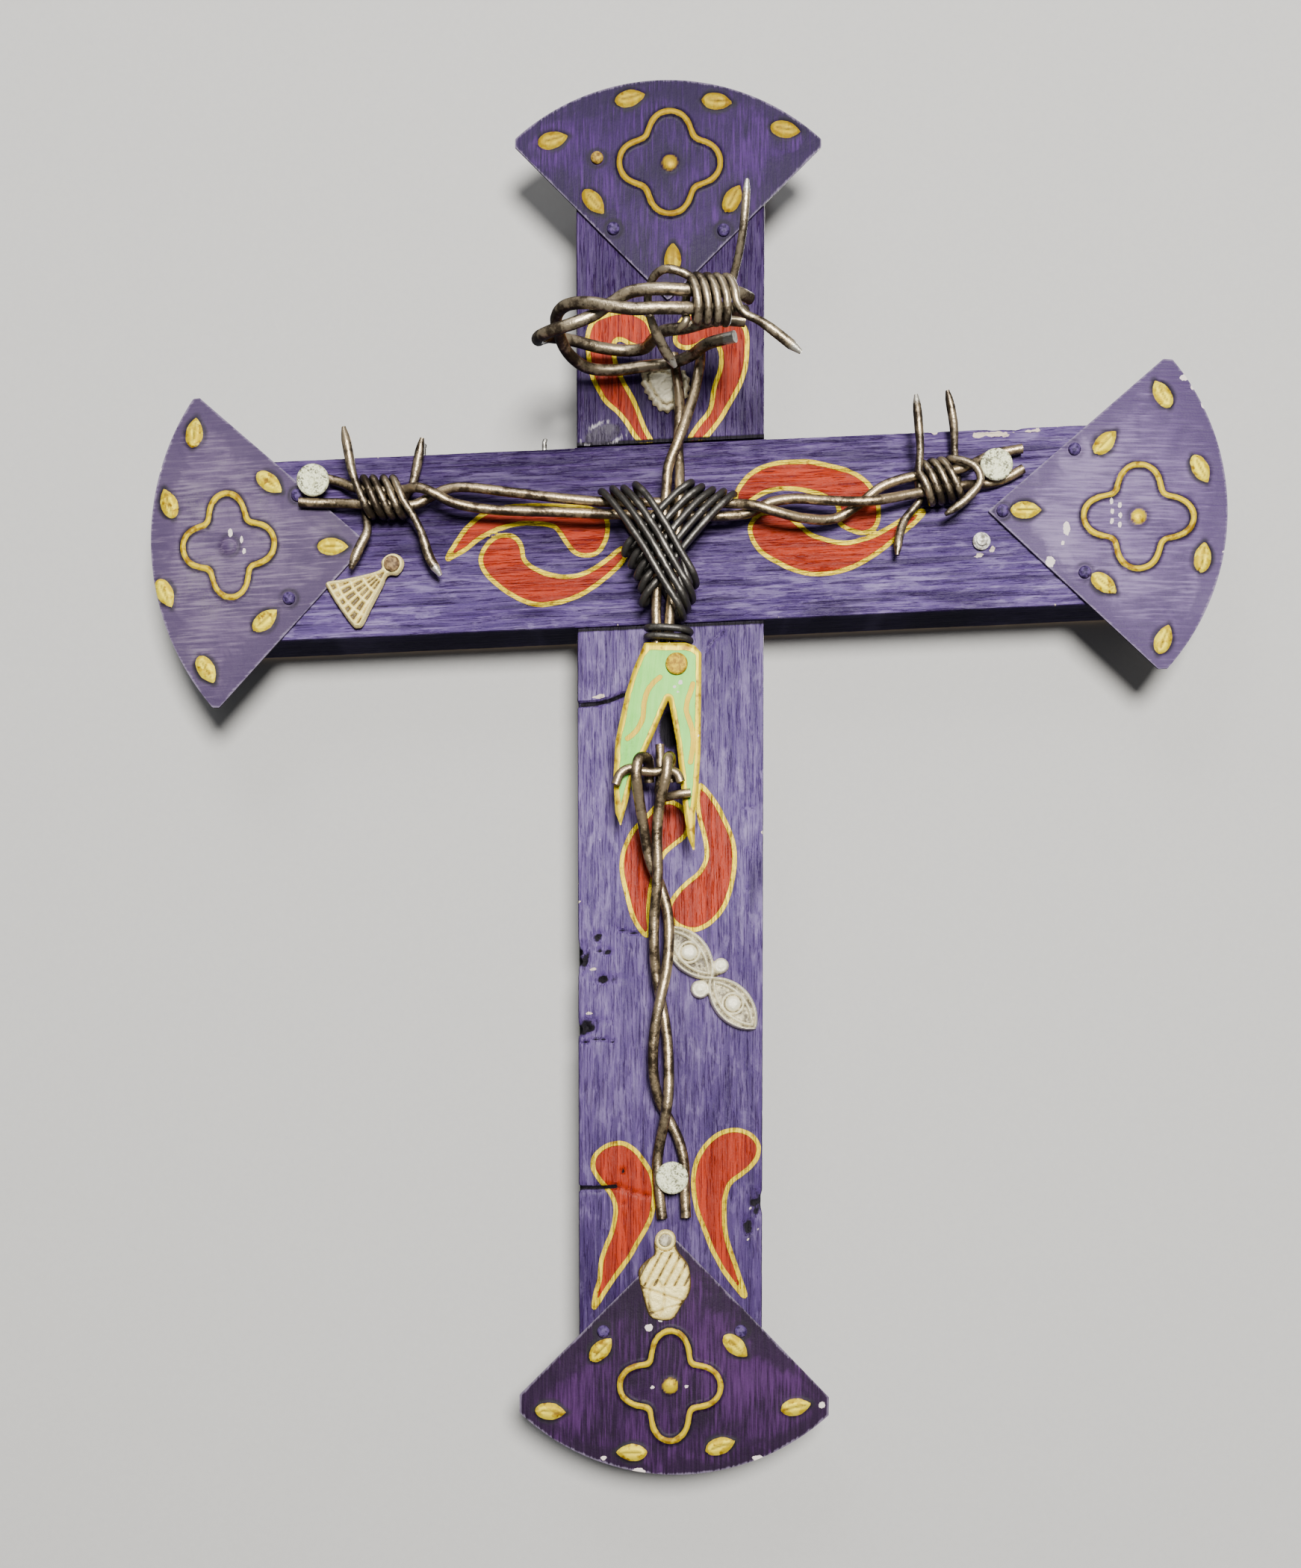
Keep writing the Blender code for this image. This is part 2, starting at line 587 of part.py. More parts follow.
ARM_ROUTE_2 = [
    (-88.2, 6.6, 2.5), (-84.0, 6.4, 2.5), (-79.0, 6.3, 2.6), (-75.8, 5.9, 3.5), (-72.6, 5.6, 4.1),
    (-69.0, 5.5, 4.1), (-65.2, 5.6, 4.1), (-61.0, 5.4, 4.0), (-57.0, 7.3, 3.9), (-53.0, 9.0, 4.6),
    (-49.0, 9.3, 5.2), (-37.0, 7.9, 5.6), (-27.1, 6.7, 5.7), (-15.5, 5.7, 5.7), (0.0, 5.5, 5.8),
    (10.0, 5.4, 5.8), (15.4, 5.1, 6.2), (19.6, 4.3, 7.6), (24.4, 2.9, 7.6), (31.0, 1.8, 6.0),
    (38.6, 2.2, 4.0), (44.0, 5.2, 4.0), (49.4, 9.4, 4.4), (53.8, 11.2, 4.5), (58.6, 12.3, 4.4),
    (64.0, 13.1, 4.2), (69.0, 14.2, 3.9), (71.4, 15.6, 2.4), (73.2, 16.7, 1.7), (77.0, 18.4, 1.6),
    (80.4, 19.0, 1.6), (83.6, 19.6, 1.7)]

NECK_ROUTE_1 = [
    (0.6, 41.6, 2.9), (1.2, 37.4, 3.2), (2.0, 31.0, 5.0), (2.0, 24.2, 6.2), (1.7, 18.2, 6.4),
    (2.0, 13.0, 7.2), (2.0, 9.4, 8.1), (1.9, 4.0, 8.4), (1.5, -3.0, 8.4), (0.9, -10.0, 7.6),
    (0.1, -17.0, 6.6), (-0.4, -24.0, 6.0), (-0.4, -33.0, 5.6)]
NECK_ROUTE_2 = [
    (6.5, 36.0, 7.2), (5.4, 30.5, 7.8), (3.6, 24.5, 9.0), (1.6, 18.5, 9.6), (-0.6, 13.0, 9.0),
    (-1.0, 8.6, 8.4), (-1.6, 1.0, 8.4), (-2.5, -7.0, 8.0), (-3.2, -14.0, 7.0), (-3.5, -20.0, 6.2),
    (-3.4, -26.0, 6.0), (-3.4, -33.0, 5.6)]

LEG_ROUTE_1 = [
    (-5.2, -60.6, 7.0), (-5.2, -57.6, 8.0), (-5.6, -55.6, 10.9), (-7.4, -56.0, 13.2), (-8.1, -59.8, 13.6),
    (-7.4, -65.4, 11.2), (-6.2, -72.5, 8.4), (-4.9, -79.0, 6.4), (-2.4, -85.0, 5.6), (-0.7, -91.5, 6.2),
    (-0.5, -98.5, 6.6), (-1.1, -105.0, 7.2), (-2.6, -112.0, 7.4), (-3.9, -119.5, 6.4),
    (-4.2, -128.0, 5.0), (-2.9, -135.0, 3.0), (-0.6, -139.6, 1.8), (1.9, -144.8, 1.7), (3.1, -150.0, 1.7),
    (3.3, -156.1, 1.7), (3.6, -163.3, 1.8)]
LEG_ROUTE_2 = [
    (0.1, -60.6, 7.0), (0.0, -57.6, 7.8), (-0.2, -55.3, 10.6), (-0.7, -56.0, 13.2), (-1.2, -60.0, 13.6),
    (-2.7, -66.5, 11.4), (-3.3, -74.0, 9.9), (-3.1, -80.5, 9.2), (-3.3, -85.5, 8.6), (-3.9, -92.0, 7.0),
    (-4.0, -99.0, 6.2), (-3.5, -105.5, 4.9), (-2.3, -112.0, 4.4), (-1.0, -119.5, 4.6),
    (-0.5, -127.0, 5.0), (-0.6, -134.0, 5.7), (-1.4, -139.6, 5.1), (-2.4, -144.6, 2.9),
    (-3.1, -149.2, 1.7), (-2.9, -155.1, 1.7), (-2.0, -163.6, 1.8)]

HIP_ROUTE_1 = [
    (-12.9, -61.8, 11.2), (-11.8, -59.2, 11.1), (-9.6, -57.9, 11.0), (-6.6, -58.6, 10.9),
    (-3.6, -58.8, 10.9), (-0.6, -58.3, 10.8), (1.4, -59.2, 11.0), (2.3, -61.2, 11.1)]
HIP_ROUTE_2 = [
    (4.6, -63.6, 11.0), (1.6, -64.0, 10.8), (-1.4, -64.4, 9.2), (-2.8, -63.4, 7.4), (-2.6, -60.4, 6.6),
    (-2.5, -56.0, 6.4), (-2.6, -51.6, 6.6)]

CROWN_ROUTE_1 = [
    (14.6, 40.2, 17.0), (8.2, 39.9, 13.2), (4.9, 39.2, 8.6), (0.5, 38.3, 6.3), (-6.8, 37.7, 5.2),
    (-13.7, 37.0, 5.0), (-19.8, 36.9, 7.0), (-24.0, 38.4, 12.0), (-25.8, 40.4, 18.6), (-26.0, 41.4, 25.0),
    (-23.6, 41.5, 31.0), (-18.8, 40.4, 35.2), (-13.2, 38.8, 37.2), (-8.5, 38.0, 37.8), (-3.9, 38.1, 38.0),
    (3.0, 38.5, 37.0), (7.7, 39.2, 35.1), (13.4, 40.0, 32.8), (16.2, 40.6, 30.0)]
CROWN_ROUTE_2 = [
    (16.6, 41.6, 22.4), (10.3, 41.6, 23.0), (3.2, 39.8, 23.0), (-2.0, 40.2, 20.0), (-4.2, 41.2, 12.6),
    (-6.4, 41.4, 6.8), (-10.4, 41.6, 5.0), (-16.6, 41.9, 6.0), (-22.6, 42.4, 8.8), (-28.2, 41.4, 13.6),
    (-30.4, 38.2, 20.0), (-29.6, 36.6, 26.4), (-26.4, 36.1, 31.0), (-22.0, 36.7, 33.0),
    (-17.4, 38.6, 33.0), (-13.6, 41.0, 33.4), (-9.4, 42.6, 35.4), (-3.9, 42.6, 37.2), (3.0, 42.5, 37.0),
    (7.7, 43.1, 35.1), (14.4, 43.8, 32.4), (17.4, 43.8, 29.2)]

# Where each chest wrap passes over the shoulder, its height just in front of it, and its waist turn
LEFT_SHOULDERS = ((-16.4, 8.4, 8.1), (-13.6, 8.8, 8.2), (-11.0, 8.9, 8.4), (-8.2, 9.6, 9.0))
LEFT_WAIST = ((2.5, -22.0), (3.6, -19.8), (4.8, -17.6), (5.6, -14.0))
RIGHT_SHOULDERS = ((14.9, 7.8, 8.1), (12.3, 8.2, 8.1), (9.7, 8.6, 8.3), (7.1, 9.1, 9.2), (4.6, 9.8, 10.3))
RIGHT_WAIST = ((-6.4, -18.6), (-6.7, -15.4), (-7.6, -12.4), (-9.0, -9.6), (-10.6, -6.8))


def chest_route(shoulders, waists, back, front, side):
    """One binding wire: over the shoulder, down across the chest, round the waist and up behind.

    side is +1 where the waist turn is to the right, -1 where it is to the left.
    """
    points = []
    for number, ((sx, sz, near), (wx, wz)) in enumerate(zip(shoulders, waists)):
        dx, dz = wx - sx, wz - sz
        points.append((sx - side * 0.1, sz, 4.6))
        points.append((sx + dx * 0.03, sz - 1.2, near))
        points.append((sx + dx * 0.20, sz + dz * 0.19, near + (front - near) * 0.7))
        points.append((sx + dx * 0.50, sz + dz * 0.47, front))
        points.append((sx + dx * 0.78, sz + dz * 0.76, front - 0.4))
        points.append((wx - side * 0.6, wz + 1.8, front - 1.6))
        points.append((wx + side * 0.35, wz, (front + back) / 2))
        points.append((wx - side * 0.9, wz + 1.4, back + 0.5))
        if number + 1 < len(shoulders):
            nx, nz = shoulders[number + 1][:2]
        else:
            nx, nz = sx + side * 2.7, sz
        points.append((wx + (nx - wx) * 0.35, wz + (nz - wz) * 0.40, back))
        points.append((wx + (nx - wx) * 0.8, wz + (nz - wz) * 0.78, back))
    return points


def make_waist_ring(finish):
    """Two tight turns that tie the neck wires above the loincloth."""
    middle = at(-0.55 * MM, -23.6 * MM, 6.0 * MM)
    reach_x, reach_out = 5.1 * MM, 2.95 * MM
    pitch = 2 * BIND_R + 0.35 * MM
    turns, steps = 2, 12
    path = []
    for i in range(turns * steps + 1):
        angle = 2 * math.pi * i / steps + math.pi / 2
        path.append(middle + Vector((reach_x * math.cos(angle), reach_out * math.sin(angle),
                                     -pitch * i / steps)))
    add_wire("waist_ring", path, BIND_R, 6, finish)


def make_figure():
    dark = material("rusty_line_wire", DARK_WIRE, 0.5, 0.7)
    black = material("black_binding_wire", BLACK_WIRE, 0.55, 0.6)
    hard = material("rusty_barb_wire", DARK_WIRE, 0.45, 0.75)
    head = material("crown_wire", DARK_WIRE, 0.45, 0.75)
    for name, route, radius, finish in (
            ("arm_wire_1", ARM_ROUTE_1, ARM_R, dark), ("arm_wire_2", ARM_ROUTE_2, ARM_R, dark),
            ("neck_wire_1", NECK_ROUTE_1, NECK_R, dark), ("neck_wire_2", NECK_ROUTE_2, NECK_R, dark),
            ("leg_wire_1", LEG_ROUTE_1, LEG_R, dark), ("leg_wire_2", LEG_ROUTE_2, LEG_R, dark),
            ("hip_wire_1", HIP_ROUTE_1, HIP_R, dark), ("hip_wire_2", HIP_ROUTE_2, HIP_R, dark),
            ("crown_wire_1", CROWN_ROUTE_1, CROWN_R, head), ("crown_wire_2", CROWN_ROUTE_2, CROWN_R, head)):
        add_wire(name, smooth_path(route_mm(route), 2), radius, 6, finish)
    back_low = (1.4 * GAP + BIND_R) / MM
    back_high = back_low + (2 * BIND_R + GAP) / MM
    for name, route in (
            ("chest_binding_left", chest_route(LEFT_SHOULDERS, LEFT_WAIST, back_low, 12.9, 1)),
            ("chest_binding_right", chest_route(RIGHT_SHOULDERS, RIGHT_WAIST, back_high, 10.8, -1))):
        add_wire(name, smooth_path(route_mm(route), 2), BIND_R, 5, black)
    make_waist_ring(black)
    for name, route in barb_routes():
        add_wire(name, route, BARB_R, 5, hard, pointed=True)


# Lines that the barbs are wrapped round, between the two wires of each arm and of the crown,
# how far apart those two wires are, and how loosely the barbs are wound
LEFT_STRANDS = 0.0034
RIGHT_STRANDS = 0.0042
CROWN_STRANDS = 0.0042
COIL_EASE = 0.00025
LEFT_BARB_LINE = ((-73.6, 7.3, 4.1), (-63.0, 7.3, 4.1))
RIGHT_BARB_LINE = ((58.6, 10.2, 4.6), (64.0, 11.1, 4.2), (69.0, 12.1, 4.0))
CROWN_BARB_LINE = ((3.4, 40.55, 36.85), (12.4, 41.8, 33.2))


def barb_routes():
    """Name and points of each barb wire: two wires, wrapped side by side, with a tail at each end."""
    pitch = 2 * (2 * BARB_R + GAP + 0.15 * MM)
    on_arm = ARM_R + GAP + BARB_R + COIL_EASE
    on_crown = CROWN_R + GAP + BARB_R + COIL_EASE
    left_up = on_arm + LEFT_STRANDS / 2
    right_up = on_arm + RIGHT_STRANDS / 2
    crown_up = on_crown + CROWN_STRANDS / 2
    arm_out = on_arm + COIL_EASE
    crown_out = on_crown + COIL_EASE
    routes = []

    def barb(name, lead, line, shift, angles, reach_up, reach_out, slant, tail):
        turns = coil(route_mm(line), pitch, angles, reach_up, reach_out, slant, shift * MM)
        routes.append((name, route_mm(lead) + turns + route_mm(tail)))

    barb("left_hand_barb_1", [(-76.7, 22.6, 8.0), (-75.6, 16.7, 7.8), (-74.9, 12.6, 7.2)],
         LEFT_BARB_LINE, 0.4, (70, 830), left_up, arm_out, 2.2 * MM,
         [(-60.6, 2.2, 5.8), (-59.0, -1.0, 5.2), (-56.9, -7.3, 4.4), (-54.4, -11.3, 4.0)])
    barb("left_hand_barb_2", [(-75.8, -9.6, 3.8), (-73.6, -4.4, 3.8), (-71.8, -0.6, 3.8)],
         LEFT_BARB_LINE, 0.2, (225, 990), left_up, arm_out, 2.2 * MM,
         [(-61.4, 11.2, 1.35), (-60.2, 15.8, 2.0), (-58.9, 21.7, 3.0)])
    barb("right_hand_barb_1", [(57.3, 29.8, 9.0), (58.0, 22.0, 8.8), (58.4, 17.0, 8.1)],
         RIGHT_BARB_LINE, 0.2, (60, 745), right_up, arm_out, 1.2 * MM,
         [(71.2, 14.0, 6.9), (72.8, 10.6, 6.8), (69.8, 6.4, 6.4), (64.6, 2.7, 5.6)])
    barb("right_hand_barb_2", [(53.6, -6.3, 3.6), (54.2, -1.6, 3.0), (55.6, 2.6, 2.2)],
         RIGHT_BARB_LINE, 0.1, (235, 960), right_up, arm_out, 1.2 * MM,
         [(67.4, 17.6, 2.4), (66.8, 24.5, 4.6), (65.1, 31.9, 6.0)])
    barb("crown_barb_1", [(0.8, 30.2, 25.0), (-2.2, 33.6, 28.6), (-4.8, 38.2, 32.4), (-5.4, 42.6, 32.6),
                          (-4.2, 46.0, 35.0), (-1.0, 46.4, 38.6)],
         CROWN_BARB_LINE, 0.0, (30, 830), crown_up, crown_out, -0.8 * MM,
         [(15.6, 38.4, 35.0), (19.6, 36.2, 35.2), (28.4, 29.8, 34.4)])
    barb("crown_barb_2", [(0.6, 34.6, 33.0)],
         CROWN_BARB_LINE, 0.0, (215, 950), crown_up, crown_out, -0.8 * MM,
         [(12.7, 44.8, 29.6), (13.6, 48.0, 31.0), (14.6, 51.4, 34.0), (15.6, 57.0, 37.6),
          (16.2, 65.6, 39.4)])
    return routes


# Loincloth

CLOTH_OUTLINE = (
    (-6.2, -28.9), (3.4, -28.9), (5.6, -29.6), (7.1, -31.3), (7.0, -44.0), (6.9, -54.0), (6.4, -62.0),
    (5.7, -68.0), (5.5, -77.6), (3.9, -73.6), (2.9, -67.0), (2.2, -60.0), (1.3, -51.6), (-0.6, -42.8),
    (-4.1, -49.8), (-6.9, -55.9), (-9.2, -61.0), (-10.2, -65.7), (-11.8, -71.1), (-13.0, -68.0),
    (-13.5, -60.1), (-13.0, -51.2), (-10.6, -40.0), (-8.8, -34.3))
RIVET_AT = (1.3, -33.3)


def make_loincloth():
    """Cut sheet held in front of the waist, with one rivet near its top edge."""
    outline = [(x * MM, z * MM) for x, z in CLOTH_OUTLINE]
    cloth = add_object("loincloth", prism(outline, CLOTH_LIFT, CLOTH_LIFT + CLOTH_T),
                       material("mint_sheet", MINT, 0.45, 0.0))
    rivet = bmesh.new()
    add_dome(rivet, RIVET_AT[0] * MM, RIVET_AT[1] * MM, 2.6 * MM, CLOTH_LIFT + CLOTH_T + GAP, 0.6 * MM,
             sides=12, flat=0.7)
    add_object("loincloth_rivet", rivet, material("gilt_rivet", GOLD_PAINT, 0.4, 0.4))
    return cloth


clear_scene()
make_upright()
make_crossbar()
for nail_name, nail_place in (("hand_nail_left", LEFT_HAND_NAIL), ("hand_nail_right", RIGHT_HAND_NAIL),
                              ("foot_nail", FOOT_NAIL)):
    make_nail(nail_name, nail_place)
for fan_name in FANS:
    make_fan(fan_name)
make_heart_charm()
make_fan_charm()
make_eyes_charm()
make_hand_charm()
make_small_nails()
make_figure()
make_loincloth()
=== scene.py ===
import math

import bpy
import numpy as np
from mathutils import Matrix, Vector, noise


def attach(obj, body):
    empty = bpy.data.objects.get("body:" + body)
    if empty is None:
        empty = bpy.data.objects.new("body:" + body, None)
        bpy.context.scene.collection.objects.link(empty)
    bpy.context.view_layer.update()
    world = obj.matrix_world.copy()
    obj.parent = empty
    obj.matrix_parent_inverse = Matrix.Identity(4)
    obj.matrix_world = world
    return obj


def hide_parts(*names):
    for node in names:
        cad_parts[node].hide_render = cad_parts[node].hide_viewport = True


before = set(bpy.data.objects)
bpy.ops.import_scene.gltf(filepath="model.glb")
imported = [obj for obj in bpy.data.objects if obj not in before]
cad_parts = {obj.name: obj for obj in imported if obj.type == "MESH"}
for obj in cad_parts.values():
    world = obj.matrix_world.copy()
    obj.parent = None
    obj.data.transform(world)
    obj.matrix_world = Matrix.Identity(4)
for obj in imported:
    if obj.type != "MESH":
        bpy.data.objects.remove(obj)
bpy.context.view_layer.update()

# Camera, table top and light
# The cross lies on a plain pale table and is seen from straight above it, a little below its middle.
# A soft lamp hangs over it, a weaker one stands beyond the top, and one behind lights the back.

MM = 0.001
BOARD_T = 0.0190
EYE_TO_PAINT = 0.440
PAINT_SCALE = 5610.0
PHOTO_HEIGHT = 2100
SENSOR = 36.0
LOOK_AT_X = -0.0048
LOOK_AT_Z = -0.1273
VIEW_RAISE = 0.18
TABLE_HALF = 1.6
TABLE_GAP = 0.0006
TABLE_SHADE = (0.50, 0.495, 0.485)
TABLE_PALE = (0.55, 0.545, 0.53)

view = bpy.data.cameras.new("view")
view.sensor_width = SENSOR
view.lens = PAINT_SCALE * EYE_TO_PAINT * SENSOR / PHOTO_HEIGHT
view.shift_y = VIEW_RAISE
view.clip_start = 0.01
view.clip_end = 20.0
camera = bpy.data.objects.new("view", view)
camera.location = (LOOK_AT_X, -(BOARD_T + EYE_TO_PAINT), LOOK_AT_Z)
camera.rotation_euler = (math.pi / 2, 0.0, 0.0)
bpy.context.scene.collection.objects.link(camera)
bpy.context.scene.camera = camera


class Reading:
    """One value or colour on its way through a finish, so that it can be used in plain sums."""

    def __init__(self, finish, socket):
        self.finish = finish
        self.socket = socket

    def sum(self, kind, first, second):
        return self.finish.node("ShaderNodeMath", {"operation": kind}, {0: first, 1: second})

    def __add__(self, other):
        return self.sum("ADD", self, other)

    def __radd__(self, other):
        return self.sum("ADD", other, self)

    def __sub__(self, other):
        return self.sum("SUBTRACT", self, other)

    def __rsub__(self, other):
        return self.sum("SUBTRACT", other, self)

    def __mul__(self, other):
        return self.sum("MULTIPLY", self, other)

    def __rmul__(self, other):
        return self.sum("MULTIPLY", other, self)

    def __or__(self, other):
        return self.sum("MAXIMUM", self, other)


class Finish:
    """A material built from its nodes, read off the piece's own place or its own attributes."""

    def __init__(self, name):
        self.material = bpy.data.materials.new(name)
        self.material.use_nodes = True
        self.tree = self.material.node_tree
        self.surface = self.tree.nodes["Principled BSDF"]
        self.place = self.node("ShaderNodeTexCoord", {}, {}, "Object")

    def node(self, kind, settings, sockets, output=0):
        made = self.tree.nodes.new(kind)
        for key, value in settings.items():
            setattr(made, key, value)
        for key, value in sockets.items():
            if isinstance(value, Reading):
                self.tree.links.new(value.socket, made.inputs[key])
            elif isinstance(value, tuple) and made.inputs[key].type == "RGBA":
                made.inputs[key].default_value = (*value, 1.0)
            else:
                made.inputs[key].default_value = value
        return Reading(self, made.outputs[output])

    def mix(self, share, first, second):
        return self.node("ShaderNodeMix", {"data_type": "RGBA"}, {0: share, 6: first, 7: second}, 2)

    def step(self, value, low, high):
        """0 below low, 1 above high and smooth between them; the other way round if low is above high."""
        if low > high:
            return 1.0 - self.step(value, high, low)
        return self.node("ShaderNodeMapRange", {"interpolation_type": "SMOOTHSTEP"},
                         {"Value": value, "From Min": low, "From Max": high})

    def drawn_out(self, across, along, way=0.0):
        """Place measured in cells this big across and along a line at the angle way in the XZ plane."""
        return self.node("ShaderNodeMapping", {"vector_type": "TEXTURE"},
                         {"Vector": self.place, "Scale": (along, across, across),
                          "Rotation": (0.0, -math.radians(way), 0.0)})

    def noise(self, scale, detail=3.0, rough=0.55, where=None, bend=0.0):
        return self.node("ShaderNodeTexNoise", {}, {
            "Vector": where or self.place, "Scale": scale, "Detail": detail, "Roughness": rough,
            "Distortion": bend})

    def marks(self, name):
        """A number painted on the mesh under this name."""
        return self.node("ShaderNodeAttribute", {"attribute_name": name}, {}, "Fac")

    def bump(self, height, depth):
        return self.node("ShaderNodeBump", {}, {"Height": height, "Strength": 1.0, "Distance": depth})

    def done(self, **sockets):
        for key, value in sockets.items():
            target = self.surface.inputs[key.replace("_", " ")]
            if isinstance(value, Reading):
                self.tree.links.new(value.socket, target)
            elif isinstance(value, tuple):
                target.default_value = (*value, 1.0)
            else:
                target.default_value = value
        return self.material


def make_table():
    """Pale matt sheet just behind the cross, seen from its front only.

    It casts no shadow, so that the lamp behind it reaches the back of the cross.
    """
    table = Finish("pale_table")
    speckle = table.noise(900.0, 4.0)
    tone = table.mix(speckle, TABLE_SHADE, TABLE_PALE)
    table.done(Base_Color=tone, Roughness=0.85)
    back = table.node("ShaderNodeNewGeometry", {}, {}, "Backfacing")
    clear = table.node("ShaderNodeBsdfTransparent", {}, {})
    out = table.tree.nodes["Material Output"]
    shown = table.node("ShaderNodeMixShader", {}, {0: back, 1: Reading(table, table.surface.outputs[0]),
                                                   2: clear})
    table.tree.links.new(shown.socket, out.inputs["Surface"])
    half, behind = TABLE_HALF, TABLE_GAP
    mesh = bpy.data.meshes.new("table_top")
    mesh.from_pydata([(-half, behind, -half), (half, behind, -half), (half, behind, half),
                      (-half, behind, half)], [], [(0, 1, 2, 3)])
    mesh.materials.append(table.material)
    sheet = bpy.data.objects.new("table_top", mesh)
    sheet.visible_diffuse = False
    sheet.visible_glossy = False
    sheet.visible_shadow = False
    bpy.context.scene.collection.objects.link(sheet)


def add_light(name, place, aim, size, power, tint):
    lamp = bpy.data.lights.new(name, "AREA")
    lamp.shape = "DISK"
    lamp.size = size
    lamp.energy = power
    lamp.color = tint
    stand = bpy.data.objects.new(name, lamp)
    stand.location = place
    stand.rotation_euler = (Vector(aim) - Vector(place)).to_track_quat("-Z", "Y").to_euler()
    bpy.context.scene.collection.objects.link(stand)


make_table()
add_light("overhead", (0.16, -1.30, 0.22), (0.0, 0.0, -0.05), 0.42, 38.0, (1.0, 0.98, 0.94))
add_light("beyond_the_top", (-0.35, -0.75, 0.95), (0.0, 0.0, -0.02), 0.50, 4.0, (0.97, 0.98, 1.0))
add_light("behind", (0.5, 1.2, 0.6), (0.0, 0.0, -0.05), 0.9, 16.0, (1.0, 0.98, 0.95))
world = bpy.data.worlds.new("studio")
world.use_nodes = True
world.node_tree.nodes["Background"].inputs["Color"].default_value = (0.9, 0.93, 1.0, 1.0)
world.node_tree.nodes["Background"].inputs["Strength"].default_value = 0.10
bpy.context.scene.world = world

# Upright board
# One length of softwood, sawn and painted purple by brush, its front let in for the crossbar.
# Red scrolls edged with gold are painted on it; knots, a split and old knocks break its surface.

UPRIGHT_TOP = 0.0940
UPRIGHT_FOOT = 0.2110
UPRIGHT_TOP_W = 0.0452
UPRIGHT_FOOT_W = 0.0436
BAR_W = 0.0430
BAR_TILT = math.radians(2.6)
LAP_DEPTH = 0.0095
GAP = 0.0003
CELL = 0.00062
EDGE_R = 0.0008
# where the lean of a board's sides ends along it, and over what length it eases out
LEAN_END = 0.075
LEAN_EASE = 0.045
# how deep below the painted face its marks, its bare spots and its knocks fade out
FACE_DEPTH = 0.004
BARE_DEPTH = 0.0025
KNOCK_DEPTH = 0.007
# the deepest knock, and how far in from an edge the wear reaches
KNOCK_MOST = 0.003
WORN_EDGE = 0.0035
# how far in front of a board's back the bare wood begins, and the depth it takes to show fully
RAW_START = 0.0007
RAW_EASE = 0.0006
FURROW = 0.00030

# deep violet paint, and lilac for the same paint under a painted sheen; each with dark, middle and worn tones
VIOLET_DARK = (0.012, 0.003, 0.034)
VIOLET = (0.036, 0.011, 0.082)
VIOLET_WORN = (0.110, 0.056, 0.200)
LILAC_DARK = (0.050, 0.025, 0.122)
LILAC = (0.138, 0.088, 0.255)
LILAC_WORN = (0.290, 0.220, 0.440)
SCROLL_RED = (0.42, 0.032, 0.006)
SCROLL_RED_DARK = (0.22, 0.014, 0.003)
GOLD = (0.62, 0.45, 0.002)
GOLD_PALE = (0.88, 0.71, 0.030)
GOLD_BROWN = (0.27, 0.15, 0.004)
# black for grime in cracks and knots, used also as painted shade in seams, under the loincloth and round
# raised tin
GRIME_AND_SHADE = (0.010, 0.008, 0.012)
BARE_WOOD = (0.62, 0.48, 0.30)
PRIMER = (0.76, 0.67, 0.62)
DRY_GREY = (0.050, 0.042, 0.060)
DRY_EDGE = (0.40, 0.37, 0.41)
GRAIN_LINE = (0.020, 0.006, 0.030)
RAW_DARK = (0.16, 0.10, 0.055)
RAW_PALE = (0.42, 0.30, 0.18)

